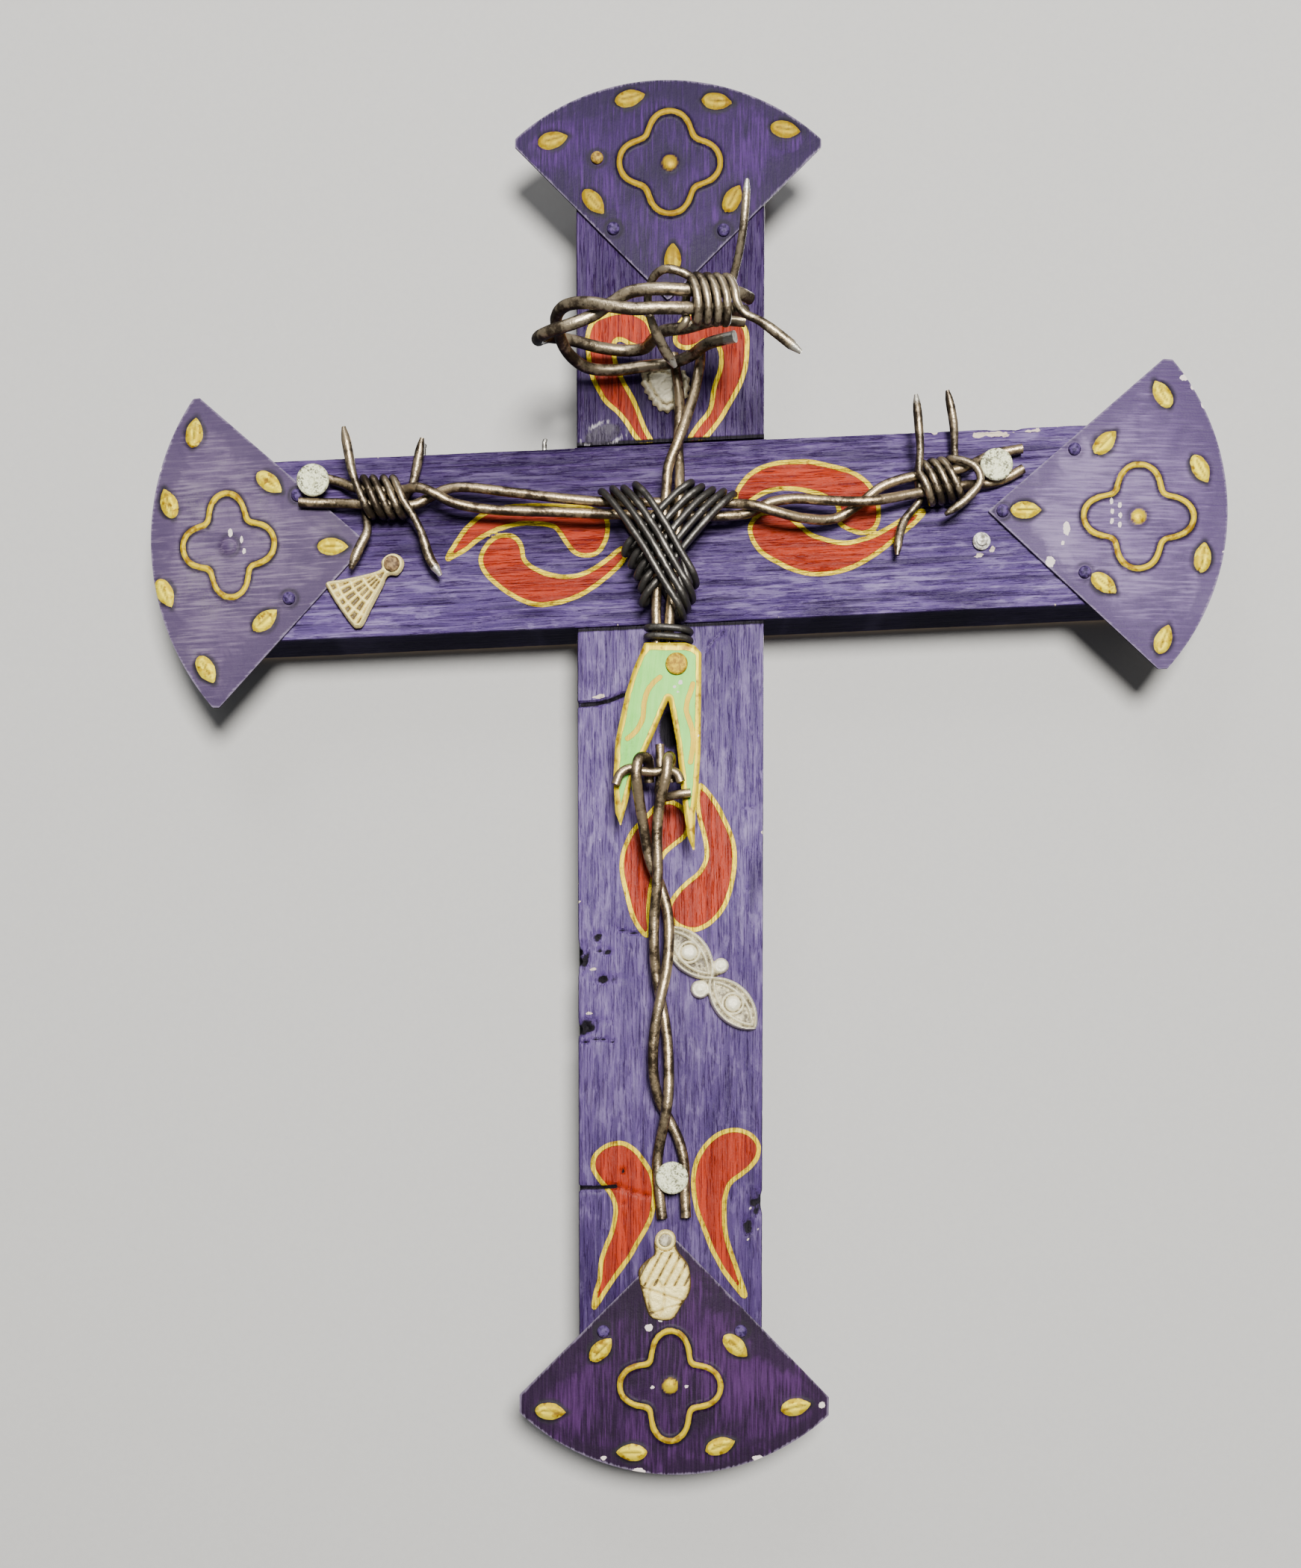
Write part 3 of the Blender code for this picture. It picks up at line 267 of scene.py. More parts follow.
# painted scrolls, corner by corner
UPRIGHT_SCROLLS = (
    ((-19.8, 47.2), (-18.5, 50.4), (-15.5, 52), (-10.3, 52.8), (-5.7, 50.6), (-3.9, 45.6), (-5.7, 44.2),
    (-9.1, 44.9), (-11.6, 46.2), (-13.4, 45.6), (-13.5, 42.1), (-12.3, 38.3), (-11.1, 35.7), (-9.3, 32.6),
    (-7.8, 29.1), (-6.2, 25), (-4.6, 21.9), (-5.7, 21.2), (-7.8, 22.3), (-10.5, 26.4), (-12.8, 29.1),
    (-15.5, 31.6), (-17.6, 35.1), (-18.9, 38.1), (-19.6, 42.6)),
    ((1.1, 46), (1.8, 49.6), (4.6, 52.4), (9.3, 53.7), (13.7, 52.8), (16.9, 50.1), (18.2, 47.2), (18, 40.6),
    (16.6, 35.7), (14.1, 31), (11.6, 26.9), (8, 22.5), (5.2, 21.2), (4.3, 22.1), (6.4, 25.5), (9.4, 29.4),
    (10.5, 35.1), (11.9, 39.2), (12.1, 42.8), (10.7, 45.6), (8.2, 46), (5.7, 44.6), (2.7, 44.4)),
    ((-5.7, -96.1), (-7.8, -93.8), (-9.3, -90.7), (-10.5, -86.1), (-11.6, -81.1), (-11.4, -76.8),
    (-10.2, -73.4), (-8.4, -70.4), (-5.2, -67.2), (-3.2, -65.1), (-0.4, -64.2), (2.5, -65.4), (4.1, -68.3),
    (3.7, -71.8), (0.7, -74.5), (-1.6, -76.6), (-3.6, -80.4), (-4.8, -85.2), (-5.3, -90.6), (-5, -94.7)),
    ((7.1, -60.2), (10.5, -64.2), (13, -68.8), (14.8, -73.4), (15.3, -77.7), (14.8, -82.5), (13, -88.6),
    (9.8, -92.7), (5.9, -94.7), (2.3, -93.9), (0.2, -91.8), (-0.2, -89.3), (1.1, -86.6), (3.9, -83.6),
    (7, -80.9), (8.6, -77.4), (8.2, -72.7), (7, -68.3), (6.4, -63.8)),
    ((-18.3, -184.9), (-18, -182), (-16.9, -177.9), (-16.6, -174.2), (-15.5, -170.5), (-14.2, -167.4),
    (-13.3, -163.7), (-13.2, -160.6), (-14.2, -157.9), (-15.8, -155.8), (-17.4, -153.7), (-18.5, -151.6),
    (-18.2, -149), (-16.3, -146.9), (-13.7, -145.8), (-11.1, -145.8), (-8.5, -147.4), (-6.4, -150.1),
    (-4.8, -152.7), (-4, -155.8), (-4, -159.5), (-4.5, -162.7), (-5.8, -165.8), (-7.9, -169.5),
    (-10, -173.1), (-12.4, -176.3), (-15.3, -180.5), (-17.4, -183.9)),
    ((17.8, -181.8), (16.5, -177.9), (15.1, -173.7), (13.8, -170), (13, -166.3), (12.8, -162.1),
    (13, -158.5), (14.1, -155.3), (16.7, -153.2), (19.3, -151.1), (20.9, -148.5), (20.9, -145.9),
    (19.3, -143.8), (16.7, -142.7), (13.6, -142.7), (10.4, -144.3), (7.8, -146.9), (6.2, -150.1),
    (5.4, -153.7), (5.6, -157.9), (6.5, -162.1), (8.3, -166.8), (9.9, -171), (12.5, -175.8),
    (15.1, -179.4), (17.1, -181.9)),
)


def unit(value):
    """The value held between 0 and 1."""
    return np.clip(value, 0.0, 1.0)


def to_outline(points, outline, closed=True):
    """How far each (x, z) point is inside a closed outline, or from an open line; and the nearest place."""
    ends = np.roll(outline, -1, axis=0)
    if not closed:
        outline, ends = outline[:-1], ends[:-1]
    best = np.full(len(points), np.inf)
    nearest = np.zeros_like(points)
    inside = np.zeros(len(points), dtype=bool)
    x, z = points[:, 0], points[:, 1]
    for start, end in zip(outline, ends):
        run = end - start
        share = unit(((points - start) @ run) / max(run @ run, 1e-18))
        foot = start + share[:, None] * run
        far = np.hypot(x - foot[:, 0], z - foot[:, 1])
        closer = far < best
        best[closer] = far[closer]
        nearest[closer] = foot[closer]
        if closed and start[1] != end[1]:
            crosses = (start[1] > z) != (end[1] > z)
            inside ^= crosses & (x < run[0] * (z - start[1]) / run[1] + start[0])
    return np.where(inside, best, -best), nearest


def rounded(outline, steps=4):
    """Smooth closed line through given points, in metres."""
    points = np.array(outline, dtype=float) * MM
    a, b, c, d = (np.roll(points, k, axis=0) for k in (1, 0, -1, -2))
    spans = []
    for i in range(steps):
        t = i / steps
        spans.append(0.5 * (2 * b + (c - a) * t + (2 * a - 5 * b + 4 * c - d) * t * t
                            + (3 * b - a - 3 * c + d) * t ** 3))
    return np.stack(spans, axis=1).reshape(-1, 2)


def scroll_paint(points, scrolls, reach=0.004):
    """Signed distance in millimetres to the nearest painted scroll, positive inside it."""
    best = np.full(len(points), -reach)
    for scroll in scrolls:
        line = rounded(scroll)
        near = np.all((points > line.min(0) - reach) & (points < line.max(0) + reach), axis=1)
        best[near] = np.maximum(best[near], to_outline(points[near], line)[0])
    return best / MM


def fade(distance, reach):
    """1 at no distance and 0 at the reach, with an even slope at both."""
    share = unit(1.0 - np.abs(distance) / reach)
    return share * share * (3 - 2 * share)


def turned_about(points, x, z, way):
    """Millimetres of each point along and across the way through (x, z)."""
    dx = points[:, 0] / MM - x
    dz = points[:, 1] / MM - z
    return dx * math.cos(way) + dz * math.sin(way), dz * math.cos(way) - dx * math.sin(way)


def far_from(points, x, z):
    """Millimetres of each point from (x, z)."""
    return np.hypot(points[:, 0] / MM - x, points[:, 1] / MM - z)


def patch(points, x, z, reach_x, reach_z, turn=0.0):
    """Soft oval spot, 1 in its middle; sizes in millimetres."""
    u, v = turned_about(points, x, z, math.radians(turn))
    return fade(np.hypot(u / reach_x, v / reach_z), 1.0)


def streak(points, line, width):
    """1 along an open line of millimetre points, 0 from the width outwards."""
    return fade(to_outline(points, np.array(line, dtype=float) * MM, closed=False)[0], width * MM)


def grain(points, seed, size, stretch=(1.0, 1.0)):
    """Smooth random value for each (x, z) point, about -1 to 1; size in millimetres."""
    scale = 1.0 / (size * MM)
    return np.array([noise.noise(Vector((x * scale / stretch[0], z * scale / stretch[1], seed)))
                     for x, z in points])


def soft_step(value):
    share = min(max(value, 0.0), 1.0)
    return share * share * (3 - 2 * share)


def board_grid(low, high, half_width, seams, lean, shelf):
    """Points and quads of a board with eased edges, told as (along, across, depth from the front).

    Between the two seams the depth runs over shelf only, which lets the front or back in there,
    and the cross lines lean over with the other board's edge.
    """
    ring = []
    front = int(2 * half_width(0.0) / CELL)
    for i in range(front + 1):
        ring.append((-1 + 2 * i / front, 0.0))
    for k in (1, 2):
        ring.append((1.0, k / 2))
    deep = 12
    for i in range(1, deep):
        ring.append((1.0, 1 + i))
    back = 12
    for i in range(back + 1):
        ring.append((1 - 2 * i / back, float(deep + 1)))
    for i in range(deep - 1, 0, -1):
        ring.append((-1.0, 1 + i))
    for k in (2, 1):
        ring.append((-1.0, k / 2))
    stations = list(np.arange(low + EDGE_R, high - EDGE_R / 2, CELL))
    stations = [low, low + EDGE_R * 0.4] + stations + [high - EDGE_R * 0.4, high]
    for seam in seams:
        stations = [s for s in stations if abs(s - seam) > CELL * 0.4]
        stations += [seam - 0.00002, seam + 0.00002]
    stations.sort()
    points = []
    for along in stations:
        w = half_width(along)
        end = min(along - low, high - along)
        easing = EDGE_R * (1 - math.sqrt(max(0.0, 1 - (1 - min(end / EDGE_R, 1.0)) ** 2)))
        tilt = lean * soft_step((LEAN_END - abs(along)) / LEAN_EASE)
        for s, d in ring:
            if d <= 1.0:
                bow = d if abs(s) == 1.0 else 0.0
                across = s * (w - EDGE_R * 0.3 * (1 - bow))
                depth = EDGE_R * (0.0 if bow == 0 else 0.35 if bow == 0.5 else 1.0)
                if abs(s) < 1.0:
                    across = s * (w - EDGE_R * 0.6)
                    depth = 0.0
                elif bow == 0:
                    depth = EDGE_R * 0.08
            else:
                across = s * (w if d <= deep else w - EDGE_R * 0.4)
                depth = EDGE_R + (BOARD_T - EDGE_R) * min((d - 1) / deep, 1.0)
            depth = easing + depth * (BOARD_T - 2 * easing) / BOARD_T
            across -= math.copysign(min(easing, abs(across) * 0.2), across)
            if seams[0] < along < seams[1]:
                depth = shelf[0] + (shelf[1] - shelf[0]) * depth / BOARD_T
            points.append((along + across * tilt, across, depth))
    count = len(ring)
    quads = []
    for row in range(len(stations) - 1):
        for i in range(count):
            j = (i + 1) % count
            quads.append((row * count + i, row * count + j, (row + 1) * count + j, (row + 1) * count + i))
    last = (len(stations) - 1) * count
    quads.append(tuple(range(count - 1, -1, -1)))
    quads.append(tuple(last + i for i in range(count)))
    return np.array(points), quads


def mark_mesh(mesh, label, values):
    """Paint one number a point on the mesh, for its finish to read."""
    numbers = np.ascontiguousarray(values, dtype=np.float32)
    mesh.attributes.new(label, "FLOAT", "POINT").data.foreach_set("value", numbers)


def show_piece(name, mesh, crease):
    """Put a finished mesh in the scene, sharp where its faces meet at more than this many degrees."""
    mesh.set_sharp_from_angle(angle=math.radians(crease))
    piece = bpy.data.objects.new(name, mesh)
    bpy.context.scene.collection.objects.link(piece)
    return piece


def make_piece(name, points, faces, finish, stands_for, layers=None, body="root"):
    """One mesh in its place, with the numbers that its finish reads, standing for its CAD nodes."""
    mesh = bpy.data.meshes.new(name)
    mesh.from_pydata([tuple(p) for p in points], [], faces)
    for label, values in (layers or {}).items():
        mark_mesh(mesh, label, values)
    mesh.materials.append(finish)
    mesh.validate()
    mesh.shade_smooth()
    piece = show_piece(name, mesh, 40)
    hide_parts(*stands_for)
    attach(piece, body)


def purple_paint(name, way, ridge):
    """Brushed purple with scrolls, worn and rubbed paint, grime, a painted sheen and painted shade; way is
    the lie of the board, in degrees from level.
    """
    paint = Finish(name)
    hairs = paint.noise(1.0, 5.0, 0.65, paint.drawn_out(0.7 * MM, 13.0 * MM, way))
    strokes = paint.noise(1.0, 4.0, 0.60, paint.drawn_out(1.3 * MM, 34.0 * MM, way), 0.3)
    cloud = paint.noise(26.0, 3.0)
    grit = paint.noise(2600.0, 2.0)
    # pale is a painted sheen: it turns the violet copy of the paint into the lilac one
    pale = paint.marks("pale")
    worn = paint.step(strokes * 0.5 + hairs * 0.3 + cloud * 0.35, 0.34, 0.80)
    rubbed = paint.step(hairs + (cloud - 0.5) * 0.3, 0.54, 0.74) * 0.7
    daub = paint.noise(1.0, 4.0, 0.62, paint.drawn_out(2.2 * MM, 6.5 * MM, way), 0.4)
    deep = paint.mix(rubbed, paint.mix(worn, VIOLET_DARK, VIOLET), VIOLET_WORN)
    light = paint.mix(rubbed, paint.mix(worn, LILAC_DARK, LILAC), LILAC_WORN)
    coat = paint.mix(paint.step(pale + (cloud - 0.5) * 0.5 + (strokes - 0.5) * 0.3, 0.0, 1.0), deep, light)
    coat = paint.mix(paint.step(daub, 0.52, 0.64) * pale * 0.35, coat, LILAC_WORN)
    coat = paint.mix(paint.step(daub, 0.46, 0.36) * pale * 0.60, coat, LILAC_DARK)
    # painted shade darkens the deep grain furrows, and a painted highlight lightens the ridges between them
    # where the sheen is
    furrow = paint.marks("furrow") + (hairs - 0.5) * 0.4
    coat = paint.mix(paint.step(furrow, 0.40, 0.95) * 0.7, coat, VIOLET_DARK)
    coat = paint.mix(paint.step(furrow, 0.22, 0.02) * (pale * 0.50 + 0.06), coat, LILAC_WORN)
    scroll = paint.marks("scroll") + (paint.noise(330.0, 3.0) - 0.5) * 0.3
    red = paint.mix(paint.step(strokes * 0.6 + hairs * 0.4, 0.38, 0.62), SCROLL_RED_DARK, SCROLL_RED)
    coat = paint.mix(paint.step(scroll, 0.0, 0.22), coat, red)
    gold = paint.mix(paint.step(paint.noise(480.0, 3.0), 0.32, 0.48), GOLD_BROWN, GOLD)
    gold = paint.mix(paint.step(hairs, 0.50, 0.66), gold, GOLD_PALE)
    line = paint.step(scroll, -0.60, -0.48) * paint.step(scroll, 0.62, 0.50)
    gilt = line * paint.step(hairs + grit * 0.2, 0.28, 0.36)
    coat = paint.mix(gilt, coat, gold)
    lines = paint.noise(1.0, 3.0, 0.60, paint.drawn_out(0.42 * MM, 8.0 * MM, way), 0.5)
    coat = paint.mix(paint.step(lines, 0.43, 0.34) * (0.55 - pale * 0.30), coat, GRAIN_LINE)
    # black in the cracks and knots, and painted shade in the seams and under the loincloth
    splits_and_shade = paint.marks("splits_and_shade")
    coat = paint.mix(paint.step(splits_and_shade + (grit - 0.5) * 0.3, 0.28, 0.62), coat, GRIME_AND_SHADE)
    smear = paint.marks("smear") + (hairs - 0.5) * 0.6
    coat = paint.mix(paint.step(smear, 0.38, 0.60) * 0.8, coat, DRY_GREY)
    scuffed = paint.step(smear, 0.12, 0.26) * paint.step(smear, 0.50, 0.36)
    coat = paint.mix(scuffed * paint.step(daub + (hairs - 0.5) * 0.6, 0.46, 0.62), coat, DRY_EDGE)
    wood = paint.mix(hairs, BARE_WOOD, PRIMER)
    bare = paint.marks("bare") + (paint.noise(1300.0, 3.0) - 0.5) * 0.5
    coat = paint.mix(paint.step(bare, 0.45, 0.52), coat, wood)
    dusty = paint.mix(hairs * 0.6 + cloud * 0.4, RAW_DARK, RAW_PALE)
    coat = paint.mix(paint.step(paint.marks("raw") + (strokes - 0.5) * 0.9, 0.40, 0.60), coat, dusty)
    rough = 0.34 + hairs * 0.18 + paint.step(splits_and_shade, 0.2, 0.5) * 0.3 + paint.marks("raw") * 0.25
    height = hairs * 0.6 * ridge + strokes * 1.1 * ridge + line * 0.35 + grit * 0.08 + daub * pale * 0.9
    height = height + paint.step(lines, 0.34, 0.46) * 0.5
    return paint.done(Base_Color=coat, Roughness=rough, Metallic=gilt * 0.30,
                      Normal=paint.bump(height, 0.00032), Specular_IOR_Level=0.16)


# line of points, half width, depth of each split or groove
UPRIGHT_SPLITS = (
    (((-21.8, -40.9), (-18, -40.7), (-14.5, -39.9), (-11.2, -38.5)), 0.95, 1.5),
    (((8.4, -28.0), (10.5, -25.4), (12.9, -23.4)), 0.45, 0.6),
    (((-22, -156.4), (-17.5, -156.3), (-13, -156.0)), 0.9, 1.1),
    (((-13, -156.0), (-9, -157.4), (-5, -158.4)), 0.7, 0.45),
    (((-7, -95.8), (-10, -95.3), (-12.5, -94.6)), 0.5, 0.7),
    (((17.2, -65.2), (18.4, -66.1), (20.2, -65.4)), 0.3, 0.6),
    (((17.8, -85.0), (20.0, -84.6)), 0.25, 0.5),
    (((-21.5, -121.8), (-17, -120.7), (-13.5, -121.6)), 0.45, 0.7))
# x, z, reach across, reach along, turn, depth, darkness
UPRIGHT_HOLLOWS = (
    (-21.6, -101.6, 3.0, 5.0, 0.0, 2.4, 1.5), (-17.2, -96.6, 2.6, 1.5, 10.0, 1.0, 1.3),
    (-16.0, -99.8, 3.0, 1.2, -8.0, 0.9, 1.2), (-15.4, -106.6, 5.4, 1.8, 4.0, 0.9, 1.0),
    (-20.6, -118.0, 3.8, 2.8, 0.0, 1.8, 1.5), (-16.2, -116.8, 3.2, 1.2, 0.0, 0.8, 1.1),
    (-11.4, -152.2, 0.7, 0.9, 0.0, 1.4, 1.3), (-11.3, -160.2, 0.9, 0.6, 0.0, 0.5, 0.8),
    (20.6, -160.0, 2.8, 4.4, 0.0, 1.2, 1.2), (18.6, -165.5, 2.2, 3.6, 20.0, 0.9, 1.1),
    (-12.8, 24.8, 1.1, 1.4, 0.0, 0.8, 0.9), (4.7, -120.0, 0.9, 3.0, 0.0, 0.3, 0.3))
# x, z and size of chips down to primer
UPRIGHT_CHIPS = (
    (22.0, -71.5, 0.7), (-22.2, -83.6, 0.5), (-22.0, -88.2, 0.6), (-22.1, -70.4, 0.5), (19.3, -158.4, 0.6),
    (17.6, -166.0, 0.45), (20.4, -163.4, 0.35), (-16.8, -73.0, 0.35), (21.9, -50.0, 0.5), (22.1, -112.0, 0.5),
    (-22.0, 36.0, 0.4), (21.9, 10.0, 0.6), (-20.0, 20.4, 0.5), (-3.0, 20.6, 0.6), (1.0, 20.7, 0.5),
    (21.2, -159.0, 0.55), (19.0, -161.2, 0.45), (20.8, -166.4, 0.55), (18.4, -168.6, 0.45))
# x, z, reach across, reach along and turn of longer scrapes down to the wood
UPRIGHT_SCRAPES = ((-17.0, -39.0, 3.4, 0.9, 8.0), (-18.6, -104.0, 2.2, 0.8, 8.0),
                   (-19.4, -114.6, 2.0, 0.8, 0.0))
# a dried smear above the crossbar, told in the same way
UPRIGHT_SMEARS = ((-16.0, 23.6, 8.5, 4.2, 18.0),)


def make_board(name, told, quads, along_way, across_way, half_width, defects, pale, ridges, finish):
    """Put a board's grid in its place, with its knocks, and paint its marks on the mesh."""
    along, across, depth = told.T
    face = along[:, None] * along_way + across[:, None] * across_way
    on_front = unit(1.0 - depth / FACE_DEPTH)
    edge_gap = np.abs(across) - np.array([half_width(a) for a in along])
    near_edge = fade(edge_gap, WORN_EDGE)
    knocks = grain(face, 8.4, 1.6)
    splits_and_shade = np.zeros(len(face))
    dent = np.zeros(len(face))
    for line, width, deep in defects["splits"]:
        mark = streak(face, line, width)
        splits_and_shade = np.maximum(splits_and_shade, mark * min(deep, 1.0))
        dent += mark * deep * 0.9 * MM
    for x, z, rx, rz, turn, deep, dark in defects["hollows"]:
        mark = patch(face, x, z, rx, rz, turn)
        rugged = mark * np.clip(0.75 + knocks * 1.1, 0.0, 1.6)
        dent += rugged * deep * MM
        splits_and_shade = np.maximum(splits_and_shade, unit(rugged * dark))
    smear = np.zeros(len(face))
    for x, z, rx, rz, turn in defects["smears"]:
        smear = np.maximum(smear, patch(face, x, z, rx, rz, turn))
    bare = near_edge * unit(knocks * 1.5 - 0.62) * 0.8
    for x, z, r in defects["chips"]:
        bare = np.maximum(bare, patch(face, x, z, r, r * 1.2))
    for x, z, rx, rz, turn in defects["scrapes"]:
        bare = np.maximum(bare, patch(face, x, z, rx, rz, turn) * unit(0.95 + knocks * 0.9))
    bare *= unit(1.0 - depth / BARE_DEPTH)
    # dark seams with painted shade, and on the upright painted shade under the loincloth
    splits_and_shade = np.maximum(splits_and_shade, defects["dirt_and_shade"](face) * 0.75)
    inward = near_edge * (np.clip(dent, 0.0, KNOCK_MOST) * 0.8 * unit(1 - depth / KNOCK_DEPTH)
                          + unit(knocks) * 0.10 * MM)
    inward += (1 - on_front) * (0.5 + 0.5 * grain(face + depth[:, None], 5.2, 6.0, (3.0, 3.0))) * 0.12 * MM
    shift = np.where(np.abs(across) > 0.001, np.sign(across), 0.0) * inward
    face_in = face - shift[:, None] * across_way
    furrow = ridges(along, across)
    push = on_front * (dent + furrow + smear * 0.45 * np.abs(knocks) * MM)
    place = np.stack([face_in[:, 0], -BOARD_T + depth + push, face_in[:, 1]], axis=1)
    raw = unit((depth - BOARD_T + RAW_START) / RAW_EASE)
    scroll = scroll_paint(face, defects["scrolls"]) * on_front - (1 - on_front) * 4
    make_piece(name + "_painted", place, quads, finish, [name],
               {"scroll": scroll, "splits_and_shade": splits_and_shade, "bare": bare, "smear": smear, "raw": raw,
                "pale": pale(face) * (0.4 + 0.6 * on_front), "furrow": furrow / FURROW})


UPRIGHT_SEAM = (BAR_W / 2 + GAP) / math.cos(BAR_TILT)
# x, z, reach across and reach along of the painted shade under the loincloth
UNDER_CLOTH_SHADE = (-0.2, -47.0, 4.5, 8.0)


def upright_half(along):
    share = (along + UPRIGHT_FOOT) / (UPRIGHT_TOP + UPRIGHT_FOOT)
    return (UPRIGHT_FOOT_W + (UPRIGHT_TOP_W - UPRIGHT_FOOT_W) * share) / 2


def upright_dirt(face):
    """Black grime and painted shade in the seams beside the crossbar, and painted shade under the loincloth.
    """
    seam = fade(np.abs(face[:, 1] - face[:, 0] * math.tan(BAR_TILT)) - UPRIGHT_SEAM - 0.0004, 0.0011)
    return np.maximum(seam, np.clip(patch(face, *UNDER_CLOTH_SHADE) * 1.6, 0.0, 0.9))


def upright_pale(face):
    """Painted sheen: lilac below the crossbar, fading to deep violet at the foot and above."""
    return np.interp(face[:, 1] / MM, (-205, -180, -150, -120, -95, -60, -30, -10, 10, 30, 94),
                     (0.15, 0.35, 0.55, 0.62, 0.85, 1.0, 0.75, 0.5, 0.35, 0.15, 0.05))


def upright_ridges(along, across):
    return np.abs(grain(np.stack([across, along], axis=1), 3.1, 2.6, (1.0, 9.0))) * 0.28 * MM + 0.03 * MM


told, quads = board_grid(-UPRIGHT_FOOT, UPRIGHT_TOP, upright_half, (-UPRIGHT_SEAM, UPRIGHT_SEAM),
                         math.tan(BAR_TILT), (LAP_DEPTH, BOARD_T))
make_board("upright_board", told, quads, np.array([0.0, 1.0]), np.array([1.0, 0.0]), upright_half,
           {"splits": UPRIGHT_SPLITS, "hollows": UPRIGHT_HOLLOWS, "chips": UPRIGHT_CHIPS,
            "scrapes": UPRIGHT_SCRAPES, "smears": UPRIGHT_SMEARS, "scrolls": UPRIGHT_SCROLLS,
            "dirt_and_shade": upright_dirt},
           upright_pale, upright_ridges, purple_paint("upright_paint", 90.0, 0.75))

# Crossbar
# A second length of the same board, let in half its depth, its right end a little higher.
# Coarse level grain shows through the paint, and its top edge is split away beside the right hand.

BAR_LEFT = 0.1120
BAR_RIGHT = 0.1190
BAR_SEAM = UPRIGHT_TOP_W / 2 + GAP

BAR_SCROLLS = (
    ((-53.3, -6), (-51.3, -2.4), (-48.7, 1.2), (-45.1, 4.3), (-41.5, 5.8), (-35.7, 6.5), (-26.8, 6.5),
    (-18.8, 5.8), (-15.7, 4.1), (-15, 1.6), (-15.7, -2), (-17.5, -4.6), (-20.1, -5.3), (-22.8, -4.6),
    (-25, -2), (-26.8, 0.7), (-28.4, 1.8), (-31.7, 2.3), (-35.3, 2.3), (-38.4, 1.8), (-42.4, 0.5),
    (-46, -1.5), (-49.1, -4), (-51.8, -5.5)),
    ((-38, -0.6), (-36.2, -2), (-35.5, -3.7), (-35.1, -6), (-33.5, -7.8), (-30.8, -9.3), (-27.3, -10.2),
    (-24.6, -10.4), (-21.5, -9.9), (-17.9, -8.2), (-14.8, -6), (-11.9, -3.7), (-10.8, -4.6), (-11.2, -6.4),
    (-13.9, -9.3), (-17.5, -12.2), (-21.5, -14.7), (-25.5, -16.2), (-30.8, -17.1), (-34.4, -16.4),
    (-38, -14.7), (-41.5, -12.2), (-44.2, -9.5), (-45.3, -6.9), (-44.9, -4.6), (-43.5, -2.4),
    (-41.1, -0.7)),
    ((15.6, 9.4), (17.7, 12.7), (20.4, 15), (24.4, 16.5), (28.9, 17), (33.3, 17), (37.8, 16.1), (42.2, 15),
    (45.8, 13), (48.3, 10.3), (49.4, 7.4), (49.7, 4.9), (49.4, 2.5), (48, 0.7), (45.8, 0), (43.1, 0.7),
    (40.7, 2), (40, 3.4), (40.2, 5.6), (39.1, 7.6), (36, 9.2), (32.4, 10.2), (28, 10.7), (24.4, 10.3),
    (21.3, 9.2), (18.9, 7.6), (17.3, 6.5), (16, 7)),
    ((19.4, 2.5), (19, 0.5), (20, -2.4), (22.2, -4.9), (25.8, -7.1), (29.8, -8.9), (34.2, -9.8),
    (38.7, -9.5), (43.1, -8.2), (46.7, -6.4), (50.3, -4), (53.2, -1.7), (56.1, 0.7), (58.7, 2.9),
    (60.4, 4.9), (59.8, 5.4), (57, 4.3), (53.8, 2.3), (50.3, 0.3), (47.1, -1.1), (43.1, -2.2),
    (39.6, -2.2), (36, -1.3), (33.3, -0.2), (31.1, 1.6), (29.5, 2.9), (27.5, 4.3), (24.4, 4.9),
    (21.3, 4.5)),
)

BAR_SPLITS = (
    (((14.6, 14.9), (30, 14.7), (45, 15.2), (59, 15.0)), 0.30, 0.55),
    (((-22.6, -18.2), (-40, -19.4), (-60, -19.9)), 0.30, 0.45),
    (((24, -15.8), (48, -14.2), (66, -13.4)), 0.28, 0.45),
    (((-56, 13.2), (-42, 14.6), (-30, 14.9)), 0.25, 0.4),
    (((-20, -13.0), (0, -12.5), (18, -11.0)), 0.25, 0.4))
BAR_HOLLOWS = (
    (79.5, 25.3, 8.0, 1.8, 2.6, 0.5, 0.0), (62.6, 24.4, 1.8, 0.9, 0.0, 0.4, 0.2),
    (-60.0, 17.2, 1.0, 1.6, 0.0, 0.5, 0.7), (-28.0, 19.4, 1.4, 0.8, 0.0, 0.6, 0.8))
BAR_CHIPS = (
    (62.6, 24.0, 0.9), (92.6, 25.2, 0.7), (72.2, -4.6, 0.45), (-61.8, 18.0, 0.5), (-12.8, -22.0, 0.5),
    (26.0, -20.0, 0.5), (92.0, -17.2, 0.6), (76.0, -17.8, 0.45), (-70.0, 18.0, 0.4), (-28.4, 20.0, 0.5),
    (15.0, 21.9, 0.5))
BAR_SCRAPES = (
    (78.6, 23.8, 7.4, 1.8, 2.6), (73.4, 23.4, 3.4, 1.4, 2.6), (86.6, 24.6, 4.4, 1.2, 2.6),
    (62.7, 24.2, 2.0, 1.4, 0.0), (73.6, -5.4, 3.2, 1.2, 15.0), (76.8, -3.8, 1.8, 1.1, 60.0))


def bar_half(_along):
    return BAR_W / 2


def bar_dirt(face):
    """None: the lap is at the bar's back, so no joint shows on its front."""
    return np.zeros(len(face))


